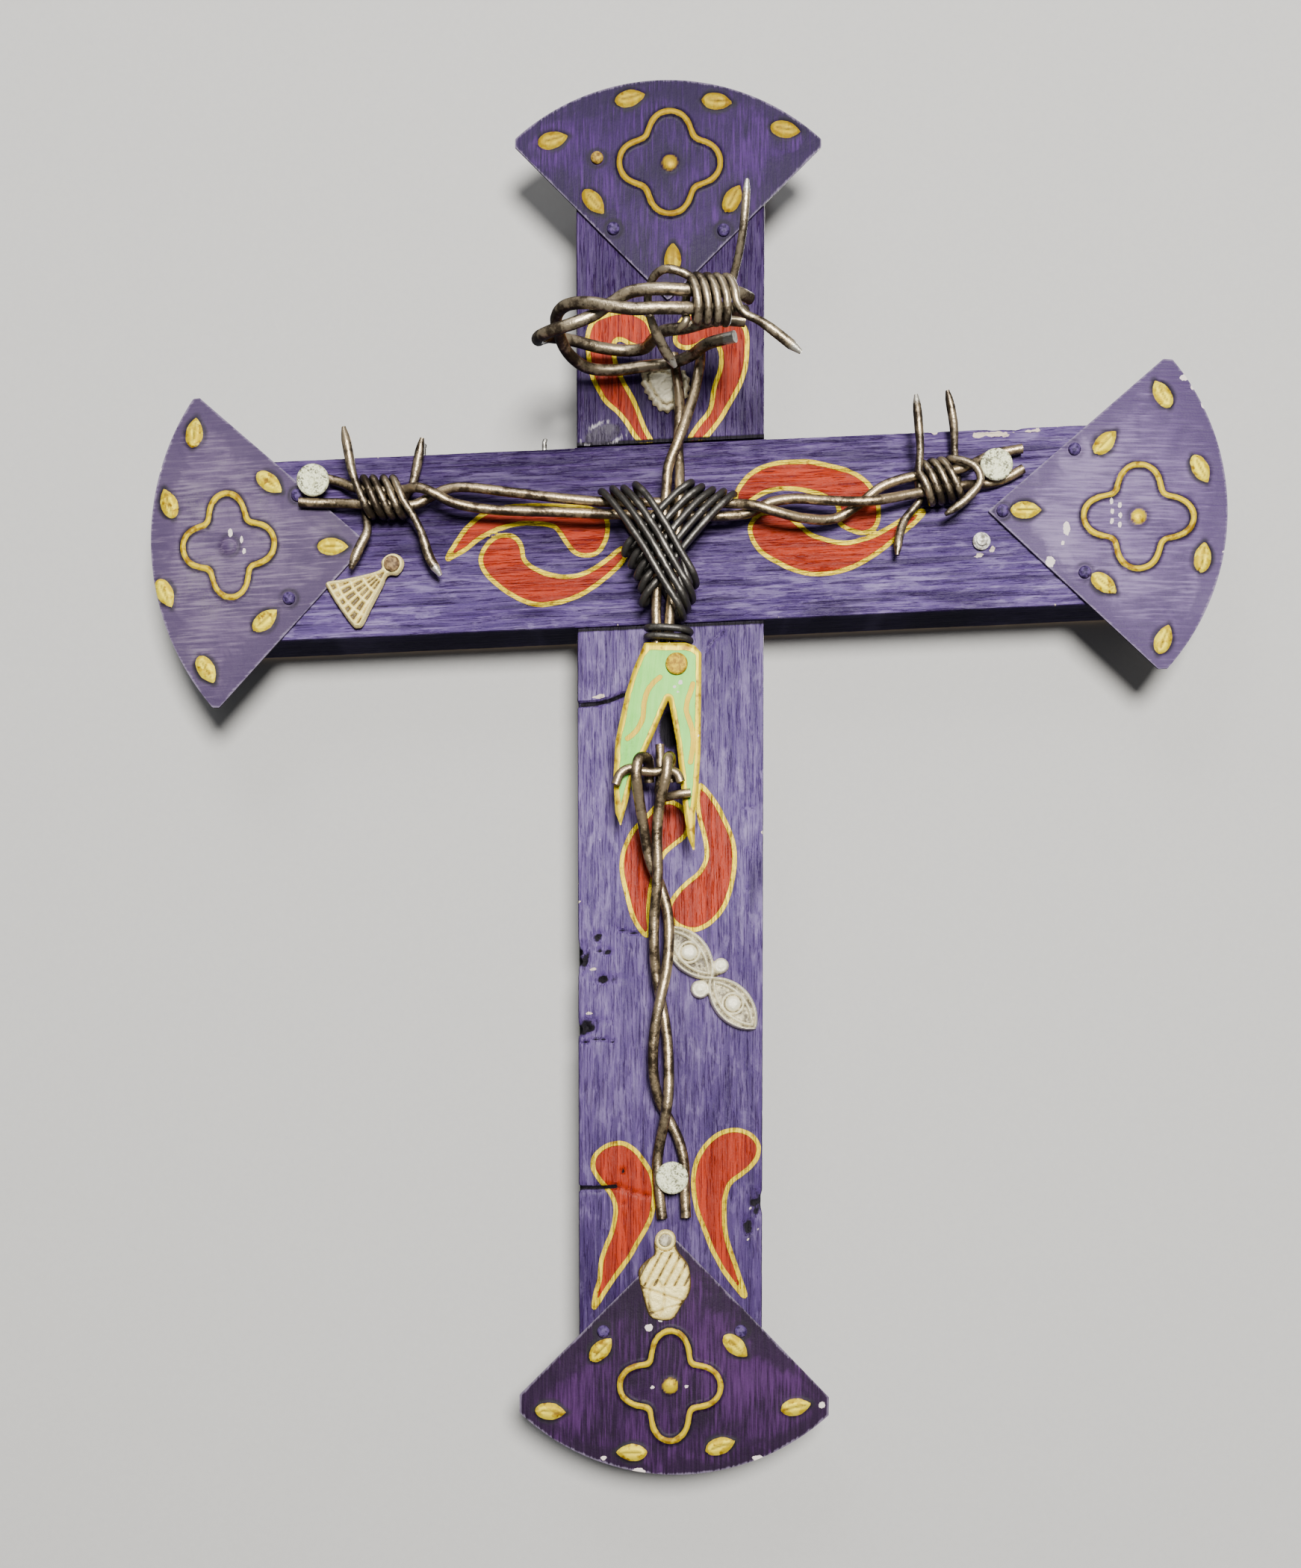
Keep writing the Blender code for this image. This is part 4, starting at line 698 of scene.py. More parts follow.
def bar_pale(face):
    """Painted sheen: palest along its lower edge and to the right."""
    level = np.interp(face[:, 0] / MM, (-112, -85, -40, 0, 45, 75, 119),
                      (0.4, 0.45, 0.35, 0.35, 0.5, 0.75, 0.6))
    return level + np.interp(face[:, 1] / MM, (-24, -14, 0, 20), (0.45, 0.3, 0.0, -0.1))


def bar_ridges(along, across):
    coarse = grain(np.stack([along, across], axis=1), 6.3, 1.15, (22.0, 1.0))
    swell = grain(np.stack([along, across], axis=1), 2.3, 4.0, (12.0, 1.0))
    return (np.abs(coarse) * 0.48 + swell * 0.14 + 0.02) * MM


tilt_way = np.array([math.cos(BAR_TILT), math.sin(BAR_TILT)])
down_way = np.array([math.sin(BAR_TILT), -math.cos(BAR_TILT)])
told, quads = board_grid(-BAR_LEFT, BAR_RIGHT, bar_half, (-BAR_SEAM, BAR_SEAM), -math.tan(BAR_TILT),
                         (0.0, LAP_DEPTH - GAP))
make_board("crossbar", told, quads, tilt_way, down_way, bar_half,
           {"splits": BAR_SPLITS, "hollows": BAR_HOLLOWS, "chips": BAR_CHIPS, "scrapes": BAR_SCRAPES,
            "smears": (), "scrolls": BAR_SCROLLS, "dirt_and_shade": bar_dirt},
           bar_pale, bar_ridges, purple_paint("crossbar_paint", 2.6, 1.25))

# Tin fans
# Four sheets of thin tin, pressed from behind with leaves and a flower, tacked over the board ends.
# They carry the boards' purple, with gold rubbed on the raised pattern and black grime and painted shade
# round it;
# their backs are bare tin.

TIN_T = 0.0006
TIN_CELL = 0.00045
LEAF_L = 0.0075
LEAF_W = 0.0043
RELIEF_H = 0.0008

# apex x and z, reach to the middle of the rim, reach to the corners, half angle, way it points
FANS = {
    "top": ((-0.6, 55.2), 52.5, 53.0, 45.0, 90.0),
    "left": ((-72.2, -2.6), 51.6, 54.0, 44.4, 183.6),
    "right": ((75.7, 5.0), 57.0, 56.8, 42.0, -0.95),
    "bottom": ((1.2, -168.5), 56.1, 55.5, 44.6, 269.5),
}
CORNER_BLUNT = {"top": 1.4, "left": 1.2, "right": 1.6, "bottom": 3.0}
# middle of each pressed leaf and the way its point turns
LEAVES = {
    "top": ((-28.0, 93.3, 15.0), (-9.6, 103.3, 14.0), (11.1, 102.5, -6.0), (27.4, 95.8, -10.0),
            (-18.3, 78.5, -50.0), (14.8, 79.4, 62.0), (0.5, 65.2, 90.0)),
    "left": ((-113.4, 23.6, 82.0), (-119.5, 6.8, 108.0), (-120.4, -14.7, -64.0), (-110.5, -32.9, -60.0),
             (-95.5, 11.7, -38.0), (-96.5, -21.0, 42.0), (-80.4, -3.5, 0.0)),
    "right": ((117.0, 32.9, 120.0), (126.2, 14.9, -62.0), (126.7, -6.0, 82.0), (117.4, -25.5, 70.0),
              (103.5, 21.4, 46.0), (103.3, -12.4, -38.0), (84.7, 5.2, 0.0)),
    "bottom": ((-28.5, -209.5, -5.0), (-9.4, -219.3, 180.0), (11.9, -217.7, 18.0), (29.9, -208.4, 12.0),
               (-16.5, -194.7, 47.0), (15.5, -194.0, -42.0)),
}
# middle of each flower, its half width and half height, and how near its notches come to its middle
FLOWERS = {
    "top": ((-0.2, 87.9), (12.0, 12.2), 0.70),
    "left": ((-105.2, -3.3), (10.9, 12.4), 0.64),
    "right": ((111.4, 3.6), (13.1, 12.4), 0.64),
    "bottom": ((-0.1, -203.4), (12.0, 13.1), 0.60),
}
NOTCH_EASE = 0.018
# fan, reach from its apex and angle off its middle
PAINTED_TACKS = (("top", 21.4, 37.6), ("top", 21.2, -38.5), ("left", 22.9, 31.8), ("left", 20.1, -37.8),
                 ("right", 25.2, 36.6), ("right", 3.4, 0.9), ("right", 27.2, -31.6),
                 ("bottom", 27.9, -37.6), ("bottom", 26.8, 35.8))
GILT_TACK = (("top", 37.8, 26.6),)
# bare tin and primer spots: x, z, half width, half height
FAN_CHIPS = {
    "top": ((-25.4, 103.4, 0.9, 0.7), (30.6, 99.3, 1.5, 0.8), (33.6, 97.6, 1.1, 0.6), (-35.2, 88.6, 0.5, 0.9),
            (12.0, 107.0, 0.8, 0.4), (35.6, 90.4, 0.6, 0.9)),
    "left": ((-104.6, 36.0, 0.8, 0.5), (-83.6, 24.4, 0.5, 0.6), (-104.9, -0.2, 0.5, 1.1),
             (-102.2, -1.8, 0.4, 0.9), (-101.6, -4.6, 0.4, 0.8), (-84.0, -19.4, 0.5, 0.5),
             (-121.8, 15.0, 0.5, 0.8)),
    "right": ((122.4, 36.8, 1.2, 0.7), (124.8, 34.6, 1.0, 0.7), (127.0, 30.4, 0.6, 1.1),
              (94.3, 0.9, 0.8, 1.6), (90.4, -7.1, 1.1, 1.3), (93.4, -2.6, 0.4, 0.6), (88.6, -9.9, 0.7, 0.8),
              (87.2, -12.7, 0.8, 1.0), (96.6, 30.6, 0.9, 0.6), (90.2, 27.6, 0.7, 0.6),
              (119.6, -33.6, 0.5, 0.6), (105.0, 7.4, 0.4, 0.8), (105.2, 5.0, 0.4, 0.8),
              (105.1, 2.6, 0.4, 0.8), (107.0, 6.4, 0.4, 0.8), (107.1, 4.0, 0.4, 0.8),
              (107.0, 1.8, 0.4, 0.8)),
    "bottom": ((-37.0, -209.7, 1.0, 0.9), (-7.7, -223.8, 1.6, 0.8), (20.8, -220.7, 1.3, 0.7),
               (-5.2, -189.6, 1.0, 0.8), (-2.4, -187.6, 0.6, 0.7), (3.8, -203.6, 0.5, 0.4),
               (-4.4, -203.8, 0.5, 0.4), (36.0, -208.0, 0.8, 0.8), (-16.0, -220.6, 0.8, 0.5)),
}
# deep, middle and pale paint of each fan, how much painted grey sheen lies on it, how far its gold is turned
# brown;
# the left and right fans' paler, greyer paint is a painted sheen as well
FAN_TONE = {
    "top": ((0.008, 0.0008, 0.026), (0.027, 0.003, 0.074), (0.088, 0.022, 0.190), 0.0, 0.70),
    "left": ((0.048, 0.028, 0.078), (0.120, 0.080, 0.160), (0.215, 0.168, 0.245), 0.35, 0.0),
    "right": ((0.046, 0.021, 0.092), (0.125, 0.074, 0.205), (0.240, 0.175, 0.340), 0.08, 0.0),
    "bottom": ((0.008, 0.0006, 0.013), (0.025, 0.003, 0.042), (0.075, 0.020, 0.110), 0.0, 0.15),
}
FAN_SHEEN_GREY = (0.16, 0.145, 0.150)
LEAF_VEIN = (0.07, 0.035, 0.008)
WORN_RIM = (0.30, 0.25, 0.36)
CHIP_SPREAD = 1.9
FAN_RIM = 0.0014
FAN_BORDER = 0.009
TIN_DARK = (0.16, 0.12, 0.09)
TIN_BACK = (0.42, 0.40, 0.37)


def fan_frame(fan):
    (x, z), _, _, _, way = FANS[fan]
    turned = math.radians(way)
    ahead = np.array([math.cos(turned), math.sin(turned)])
    return np.array([x, z]), ahead, np.array([-ahead[1], ahead[0]])


def on_fan(fan, reach, angle):
    apex, ahead, aside = fan_frame(fan)
    turned = math.radians(angle)
    return apex + reach * (math.cos(turned) * ahead + math.sin(turned) * aside)


def fan_outline(fan, steps=48):
    """Two straight cuts from the apex and a rim arc through the corners and the rim's middle."""
    _, reach, corner, cut_angle, _ = FANS[fan]
    half = math.radians(cut_angle)
    half_chord = corner * math.sin(half)
    rise = reach - corner * math.cos(half)
    arc_r = (half_chord ** 2 + rise ** 2) / (2 * rise)
    blunt = CORNER_BLUNT[fan]
    swing = math.asin(half_chord / arc_r) - blunt / arc_r
    points = [on_fan(fan, 0.0, 0.0), on_fan(fan, corner - blunt, cut_angle)]
    for i in range(steps + 1):
        a = swing - 2 * swing * i / steps
        along = reach - arc_r + arc_r * math.cos(a)
        across = arc_r * math.sin(a)
        points.append(on_fan(fan, math.hypot(along, across), math.degrees(math.atan2(across, along))))
    points.append(on_fan(fan, corner - blunt, -cut_angle))
    return np.array(points) * MM


def leaf_marks(points, spots):
    """Millimetres inside the nearest leaf, and inside its vein; spots hold x, z and turn.

    A leaf is round at its stalk and pointed at its tip, with a vein along two thirds of it.
    """
    best = np.full(len(points), -4.0)
    vein = np.zeros(len(points))
    for x, z, turn in spots:
        u, v = turned_about(points, x, z, math.radians(turn))
        u, v = u / (LEAF_L / MM / 2), np.abs(v)
        wide = LEAF_W / MM / 2 * unit(1 - u * u) ** np.where(u > 0, 0.95, 0.50) * (1 - 0.10 * u)
        inside = np.where(np.abs(u) < 1, wide - v, -np.hypot((np.abs(u) - 1) * 3.6, v))
        best = np.maximum(best, inside)
        vein = np.maximum(vein, unit(1 - v / 0.42) * unit((0.72 - np.abs(u)) / 0.15))
    return best, vein


def flower_marks(points, fan):
    """Millimetres from the line of the four-lobed flower, and from its middle."""
    middle, half, notch = FLOWERS[fan]
    dx = points[:, 0] / MM - middle[0]
    dz = points[:, 1] / MM - middle[1]
    far = np.hypot(dx / half[0], dz / half[1])
    a = np.arctan2(dz / half[1], dx / half[0]) - math.radians(FANS[fan][4])
    swell = (1 - notch) / 2
    line = (1 + notch) / 2 + NOTCH_EASE + swell * np.cos(4 * a) - NOTCH_EASE * np.cos(8 * a)
    slope = (-4 * swell * np.sin(4 * a) + 8 * NOTCH_EASE * np.sin(8 * a)) / line
    return np.abs(far - line) * sum(half) / 2 / np.sqrt(1 + slope * slope), np.hypot(dx, dz)


def cut_grid(outline, cell):
    """Square cells inside an outline, their border pulled onto it: points, quads and border sides."""
    low = outline.min(0) - cell
    count = np.ceil((outline.max(0) + cell - low) / cell).astype(int)
    xs, zs = (low[k] + cell * np.arange(count[k] + 1) for k in (0, 1))
    middles = np.stack(np.meshgrid(xs[:-1] + cell / 2, zs[:-1] + cell / 2, indexing="ij"), -1)
    keep = to_outline(middles.reshape(-1, 2), outline)[0].reshape(count) > 0.12 * cell
    number = {}
    quads = []
    sides = []

    def corner(i, j):
        return number.setdefault((i, j), len(number))

    for i, j in zip(*np.nonzero(keep)):
        quads.append((corner(i, j), corner(i + 1, j), corner(i + 1, j + 1), corner(i, j + 1)))
        for di, dj, a, b in ((0, -1, (i, j), (i + 1, j)), (1, 0, (i + 1, j), (i + 1, j + 1)),
                             (0, 1, (i + 1, j + 1), (i, j + 1)), (-1, 0, (i, j + 1), (i, j))):
            if not keep[i + di, j + dj]:
                sides.append((corner(*a), corner(*b)))
    points = np.array([(xs[i], zs[j]) for i, j in number])
    border = sorted({k for side in sides for k in side})
    points[border] = to_outline(points[border], outline)[1]
    return points, quads, sides


def add_plate(name, outline, cell, finish, stands_for, front, back, layers):
    """Plate of one outline; front and back give the height of its faces over the painted face.

    The mark behind is 1 on its back and 0 on its front.
    """
    face, quads, sides = cut_grid(outline, cell)
    count = len(face)
    inside = np.maximum(to_outline(face, outline)[0], 0.0)
    near, far = front(face, inside), back(face, inside)
    points = np.concatenate([np.stack([face[:, 0], -BOARD_T - near, face[:, 1]], 1),
                             np.stack([face[:, 0], -BOARD_T - far, face[:, 1]], 1)])
    faces = list(quads)
    faces += [tuple(k + count for k in reversed(quad)) for quad in quads]
    faces += [(b, a, a + count, b + count) for a, b in sides]
    marks = {key: np.concatenate([values, values]) for key, values in layers(face, inside).items()}
    marks["behind"] = np.repeat((0.0, 1.0), count)
    make_piece(name, points, faces, finish, stands_for, marks)


def tin_paint(fan, way):
    """Purple on tin, gold on what stands up, black grime and painted shade in what lies low, bare tin where
    it is knocked.
    """
    tin = Finish("tin_paint_" + fan)
    dark, middle, pale, grey_sheen, gold_to_brown = FAN_TONE[fan]
    hairs = tin.noise(1.0, 5.0, 0.62, tin.drawn_out(0.6 * MM, 9.0 * MM, way))
    cloud = tin.noise(30.0, 4.0, 0.6)
    blotch = tin.noise(95.0, 4.0, 0.6, None, 0.6)
    grit = tin.noise(2400.0, 2.0)
    coat = tin.mix(tin.step(hairs * 0.5 + blotch * 0.5 + (cloud - 0.5) * 0.5, 0.34, 0.66), dark, middle)
    coat = tin.mix(tin.step(hairs * 0.6 + cloud * 0.5, 0.52, 0.74) * 0.8, coat, pale)
    # painted sheen: grey patches on the fans, strongest on the left one
    coat = tin.mix(tin.step(cloud + grit * 0.3, 0.66, 0.84) * grey_sheen, coat, FAN_SHEEN_GREY)
    coat = tin.mix(tin.step(tin.marks("border") * 0.30 + blotch, 0.60, 0.76) * 0.75, coat, dark)
    leaf = tin.marks("leaf") + (tin.noise(420.0, 3.0) - 0.5) * 0.5
    line = tin.marks("line")
    edge_noise = (tin.noise(520.0, 3.0) - 0.5) * 0.7
    # painted shade with black grime just round the raised leaves, beside the flower's line, round its boss
    # and each tack
    shade_and_grime_halo = tin.step(leaf, -1.5, -0.2) | tin.step(line + edge_noise, 1.9, 0.7) | tin.marks("low")
    coat = tin.mix(shade_and_grime_halo * tin.step(blotch, 0.30, 0.55) * 0.85, coat, GRIME_AND_SHADE)
    gold = tin.mix(tin.step(tin.noise(420.0, 3.0), 0.34, 0.50), GOLD_BROWN, GOLD)
    gold = tin.mix(tin.step(tin.noise(520.0, 2.0) + tin.marks("leaf") * 0.07, 0.50, 0.62), gold, GOLD_PALE)
    gold = tin.mix(gold_to_brown, gold, GOLD_BROWN)
    gilt = tin.step(leaf, 0.05, 0.25) | tin.step(line + edge_noise * 0.6, 0.72, 0.58) | tin.marks("dot")
    coat = tin.mix(gilt, coat, gold)
    coat = tin.mix(tin.marks("vein") * 0.85, coat, LEAF_VEIN)
    rim = tin.marks("rim")
    worn = tin.step(rim * 0.5 + hairs * 0.5 + blotch * 0.4, 0.78, 0.98)
    coat = tin.mix(worn * 0.45, coat, WORN_RIM)
    bare = tin.step(tin.marks("bare") + (tin.noise(1400.0, 3.0) - 0.5) * 0.6, 0.42, 0.50)
    coat = tin.mix(bare, coat, PRIMER)
    behind = tin.marks("behind")
    unpainted = tin.mix(tin.step(cloud * 0.5 + blotch * 0.5, 0.38, 0.60), TIN_DARK, TIN_BACK)
    coat = tin.mix(behind, coat, unpainted)
    rough = 0.36 + hairs * 0.18 + shade_and_grime_halo * 0.12
    height = hairs * 0.45 + grit * 0.08 + blotch * 0.35
    metal = gilt * 0.30 * (1.0 - behind) + behind * 0.7
    return tin.done(Base_Color=coat, Roughness=rough, Metallic=metal, Normal=tin.bump(height, 0.00024),
                    Specular_IOR_Level=0.18)


def make_fan(fan):
    tacks = [on_fan(*tack) for tack in PAINTED_TACKS + GILT_TACK if tack[0] == fan]

    def marks(face, inside):
        leaf, vein = leaf_marks(face, LEAVES[fan])
        line, far = flower_marks(face, fan)
        bare = np.zeros(len(face))
        knocks = grain(face, 4.7, 1.4)
        for x, z, wide, tall in FAN_CHIPS[fan]:
            bare = np.maximum(bare, patch(face, x, z, wide * CHIP_SPREAD, tall * CHIP_SPREAD))
        rim = fade(inside, FAN_RIM)
        bare = np.maximum(bare, rim * unit(knocks * 1.7 - 0.75))
        dot = unit((1.9 - far) / 0.3)
        # painted shade in a ring round the foot of the flower's boss and round each tack head
        low = unit(1.0 - np.abs(far - 2.5) / 0.9) * 0.8
        for x, z in tacks:
            off = far_from(face, x, z)
            low = np.maximum(low, unit(1.0 - np.abs(off - 2.1) / 0.8))
        gold_dot = dot if fan != "left" else dot * 0.0
        return {"leaf": leaf, "line": line, "dot": gold_dot, "low": low, "vein": vein, "rim": rim,
                "bare": bare, "border": fade(inside, FAN_BORDER)}

    def relief(face, inside):
        leaf, vein = leaf_marks(face, LEAVES[fan])
        line, far = flower_marks(face, fan)
        dome = 1 - (1 - unit(leaf / 1.6)) ** 2 - vein * 0.30
        rope = unit(1 - (line / 0.95) ** 2)
        boss = unit(1 - (far / 2.1) ** 2) ** 0.7
        high = np.maximum(np.maximum(dome, rope ** 0.8), boss) * RELIEF_H
        return GAP + high * unit(inside / 0.0006)

    def front(face, inside):
        dimples = grain(face, 1.9, 7.0) * 0.05 * MM * unit(inside / 0.002)
        return relief(face, inside) + TIN_T + np.minimum(dimples, 0.0)

    add_plate("tin_fan_" + fan + "_painted", fan_outline(fan), TIN_CELL, tin_paint(fan, FANS[fan][4]),
              ["tin_fan_" + fan], front, relief, marks)


for fan_name in FANS:
    make_fan(fan_name)

# Tacks
# Small dome-headed tacks along the straight cuts of each fan, driven before the painting.
# All but one went purple with the tin; the loose one on the top fan was picked out in gold.

TACK_R = 0.0015
TACK_H = 0.0009
TACK_SEAT = 0.0001


def tube_faces(rows, sides):
    """Faces that join rings of points, the first and the last ring closed."""
    faces = []
    for row in range(rows - 1):
        for i in range(sides):
            j = (i + 1) % sides
            a, b = row * sides, (row + 1) * sides
            faces.append((a + i, a + j, b + j, b + i))
    last = (rows - 1) * sides
    faces.append(tuple(range(sides - 1, -1, -1)))
    faces.append(tuple(last + i for i in range(sides)))
    return faces


def lathe(profile, sides, dents=0.0, seed=0.0):
    """Closed round form about Y from (radius, height) steps, the last one in front."""
    points = []
    for r, height in profile:
        for i in range(sides):
            a = 2 * math.pi * i / sides
            x, z = r * math.cos(a), r * math.sin(a)
            push = dents * noise.noise(Vector((x * 900.0, z * 900.0, seed)))
            points.append((x, -(height + push), z))
    return points, tube_faces(len(profile), sides)


def make_driven(name, form, places, finish, stands_for):
    """One head set at each place by Geometry Nodes, each turned its own way, as one mesh."""
    source_mesh = bpy.data.meshes.new(name + "_head")
    source_mesh.from_pydata(form[0], [], form[1])
    source = bpy.data.objects.new(name + "_head", source_mesh)
    bpy.context.scene.collection.objects.link(source)
    tree = bpy.data.node_groups.new("drive_" + name, "GeometryNodeTree")
    tree.interface.new_socket("Places", in_out="INPUT", socket_type="NodeSocketGeometry")
    head_socket = tree.interface.new_socket("Head", in_out="INPUT", socket_type="NodeSocketObject")
    turn_socket = tree.interface.new_socket("Most turn", in_out="INPUT", socket_type="NodeSocketFloat")
    tree.interface.new_socket("Driven", in_out="OUTPUT", socket_type="NodeSocketGeometry")
    entry = tree.nodes.new("NodeGroupInput")
    head = tree.nodes.new("GeometryNodeObjectInfo")
    chance = tree.nodes.new("FunctionNodeRandomValue")
    turn = tree.nodes.new("ShaderNodeCombineXYZ")
    set_out = tree.nodes.new("GeometryNodeInstanceOnPoints")
    plain = tree.nodes.new("GeometryNodeRealizeInstances")
    paint = tree.nodes.new("GeometryNodeSetMaterial")
    leave = tree.nodes.new("NodeGroupOutput")
    chance.inputs["Seed"].default_value = 7
    paint.inputs["Material"].default_value = finish
    for a, b in ((entry.outputs["Places"], set_out.inputs["Points"]),
                 (entry.outputs["Head"], head.inputs["Object"]),
                 (head.outputs["Geometry"], set_out.inputs["Instance"]),
                 (entry.outputs["Most turn"], chance.inputs[3]),
                 (chance.outputs[1], turn.inputs["Y"]),
                 (turn.outputs[0], set_out.inputs["Rotation"]),
                 (set_out.outputs[0], plain.inputs[0]), (plain.outputs[0], paint.inputs["Geometry"]),
                 (paint.outputs[0], leave.inputs[0])):
        tree.links.new(a, b)
    carrier = bpy.data.meshes.new(name + "_places")
    carrier.from_pydata(places, [], [])
    holder = bpy.data.objects.new(name + "_places", carrier)
    bpy.context.scene.collection.objects.link(holder)
    step = holder.modifiers.new("driven", "NODES")
    step.node_group = tree
    step[head_socket.identifier] = source
    step[turn_socket.identifier] = math.tau
    ready = holder.evaluated_get(bpy.context.evaluated_depsgraph_get())
    mesh = bpy.data.meshes.new_from_object(ready)
    holder.modifiers.remove(step)
    for used in (holder, source):
        bpy.data.objects.remove(used, do_unlink=True)
    mesh.name = name
    mesh.shade_smooth()
    piece = show_piece(name, mesh, 50)
    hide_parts(*stands_for)
    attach(piece, "root")


def tack_paint(name, low, high, gloss=0.0):
    """Thick paint over a tack, mottled between a low and a high tone; gloss is 1 where bright metal shows."""
    paint = Finish(name)
    cloud = paint.noise(1100.0, 4.0)
    coat = paint.mix(paint.step(cloud, 0.36, 0.64), low, high)
    return paint.done(Base_Color=coat, Roughness=0.48 - gloss * 0.08 + cloud * 0.2, Metallic=gloss * 0.5,
                      Normal=paint.bump(cloud, 0.0001), Specular_IOR_Level=0.2)


def on_face(x, z):
    """Point of the painted face at these millimetres."""
    return x * MM, -BOARD_T, z * MM


def tack_places(tacks):
    return [on_face(*on_fan(*tack)) for tack in tacks]


tack_floor = GAP + TIN_T - TACK_SEAT + GAP
tack_crown = TACK_H + TACK_SEAT
tack_form = lathe([(TACK_R * share, tack_floor + tack_crown * lift) for share, lift in (
    (1.0, 0.0), (1.0, 0.22), (0.94, 0.46), (0.80, 0.72), (0.58, 0.90), (0.30, 0.98), (0.08, 1.0))], 20)
tack_names = {fan: iter(range(1, 4)) for fan in FANS}
painted_nodes = ["fan_tack_" + fan + "_" + str(next(tack_names[fan])) for fan, _, _ in PAINTED_TACKS]
make_driven("fan_tacks", tack_form, tack_places(PAINTED_TACKS),
            tack_paint("painted_tack_heads", (0.020, 0.010, 0.048), (0.10, 0.062, 0.19)), painted_nodes)
make_driven("gilt_tack", tack_form, tack_places(GILT_TACK),
            tack_paint("gilt_tack_head", (0.16, 0.085, 0.015), (0.50, 0.33, 0.05)), ["fan_tack_top_3"])


# Roofing nails
# Three galvanised clouts with wide flat heads, driven through at both hands and the feet.
# They pin the bent line wire down; the zinc has gone dull and chalky.

ARM_R = 0.0012
ZINC_DULL = (0.15, 0.15, 0.08)
ZINC = (0.56, 0.58, 0.34)
ZINC_CHALK = (0.84, 0.86, 0.60)
ZINC_GRIME = (0.075, 0.068, 0.035)
NAIL_HEAD_R = 0.00385
NAIL_HEAD_T = 0.0010
NAIL_SHANK_R = 0.0014
NAIL_DEPTH = 0.0120
HEAD_LIFT = GAP + TIN_T + GAP + 2 * ARM_R + GAP
NAILS = {"hand_nail_left": (-84.6, 11.3), "hand_nail_right": (77.0, 15.0), "foot_nail": (0.3, -153.7)}


def make_zinc():
    zinc = Finish("chalky_zinc")
    cloud = zinc.noise(380.0, 5.0, 0.6)
    grit = zinc.noise(2300.0, 4.0, 0.6)
    spangle = zinc.node("ShaderNodeTexVoronoi", {}, {"Vector": zinc.place, "Scale": 950.0}, "Color")
    shade = zinc.node("ShaderNodeRGBToBW", {}, {0: spangle})
    coat = zinc.mix(zinc.step(cloud * 0.7 + shade * 0.3, 0.38, 0.56), ZINC_DULL, ZINC)
    coat = zinc.mix(zinc.step(grit + cloud * 0.4, 0.62, 0.76), coat, ZINC_CHALK)
    coat = zinc.mix(zinc.step(grit * 0.6 + cloud * 0.6, 0.56, 0.44) * 0.8, coat, ZINC_GRIME)
    return zinc.done(Base_Color=coat, Metallic=0.25, Roughness=0.42 + grit * 0.3,
                     Normal=zinc.bump(grit * 0.5 + cloud + shade * 0.15, 0.00028))


head_steps = [(NAIL_SHANK_R * 0.3, -NAIL_DEPTH), (NAIL_SHANK_R, -NAIL_DEPTH + 2 * NAIL_SHANK_R),
              (NAIL_SHANK_R, HEAD_LIFT), (NAIL_HEAD_R * 0.98, HEAD_LIFT), (NAIL_HEAD_R, HEAD_LIFT + 0.0002),
              (NAIL_HEAD_R, HEAD_LIFT + 0.0005), (NAIL_HEAD_R * 0.95, HEAD_LIFT + 0.0008)]
head_steps += [(NAIL_HEAD_R * share, HEAD_LIFT + NAIL_HEAD_T * (0.86 + 0.06 * math.cos(share * 9.0)))
               for share in (0.88, 0.76, 0.62, 0.48, 0.34, 0.20, 0.08)]
make_driven("roofing_nails", lathe(head_steps, 36, 0.00006, 3.0),
            [on_face(x, z) for x, z in NAILS.values()], make_zinc(), list(NAILS))


# Charms
# Four small castings in pale pot metal, each pinned on: a shell heart, a latticed fan, a pair of eyes
# and an open hand. Their hollows hold black grime and their raised parts are rubbed bright.

CHARM_T = 0.0012
CHARM_CELL = 0.00020
CAST_GRIME = (0.06, 0.05, 0.035)
HEART = ((-6.2, 39.0), (-4.4, 39.8), (-2.6, 39.5), (-1.2, 39.8), (0.6, 39.0), (2.2, 38.9), (3.8, 38.0),
         (4.6, 35.8), (4.3, 33.4), (3.2, 31.6), (1.8, 29.9), (0.4, 29.1), (-1.2, 28.7), (-3.0, 29.5),
         (-4.4, 31.0), (-5.7, 33.0), (-6.7, 35.0), (-7.0, 37.2))
FAN_CHARM = ((-82.0, -12.2), (-81.0, -14.8), (-78.6, -18.6), (-75.6, -22.6), (-74.4, -23.0), (-73.2, -22.4),
             (-71.2, -18.4), (-68.6, -13.4), (-67.2, -10.6), (-65.0, -10.4), (-63.6, -8.6), (-63.6, -6.8),
             (-65.2, -5.4), (-67.2, -5.5), (-68.8, -7.0), (-69.0, -9.0), (-72.6, -10.2), (-78.0, -11.4))
HAND = ((-1.9, -166.2), (0.0, -166.4), (1.2, -167.8), (1.2, -169.8), (1.9, -171.6), (4.1, -174.4),
        (4.8, -178.2), (4.5, -181.2), (2.6, -184.2), (0.3, -187.6), (-4.4, -187.3), (-6.0, -184.2),
        (-6.8, -181.0), (-7.5, -178.2), (-7.5, -175.6), (-5.8, -173.6), (-3.9, -172.0), (-3.9, -169.6),
        (-3.4, -167.4))
EYES = ((4.4, -100.2), (14.8, -112.4))
EYES_WAY = math.radians(-48.5)
EYE_L = 16.5
EYE_W = 9.2
# x, z and radius of the beads beside the joint of the eyes
EYE_BEADS = ((12.0, -103.3, 1.9), (7.0, -109.0, 2.3))
HEART_MIDDLE = (-1.2, 34.8)
HEART_WAVES = 17
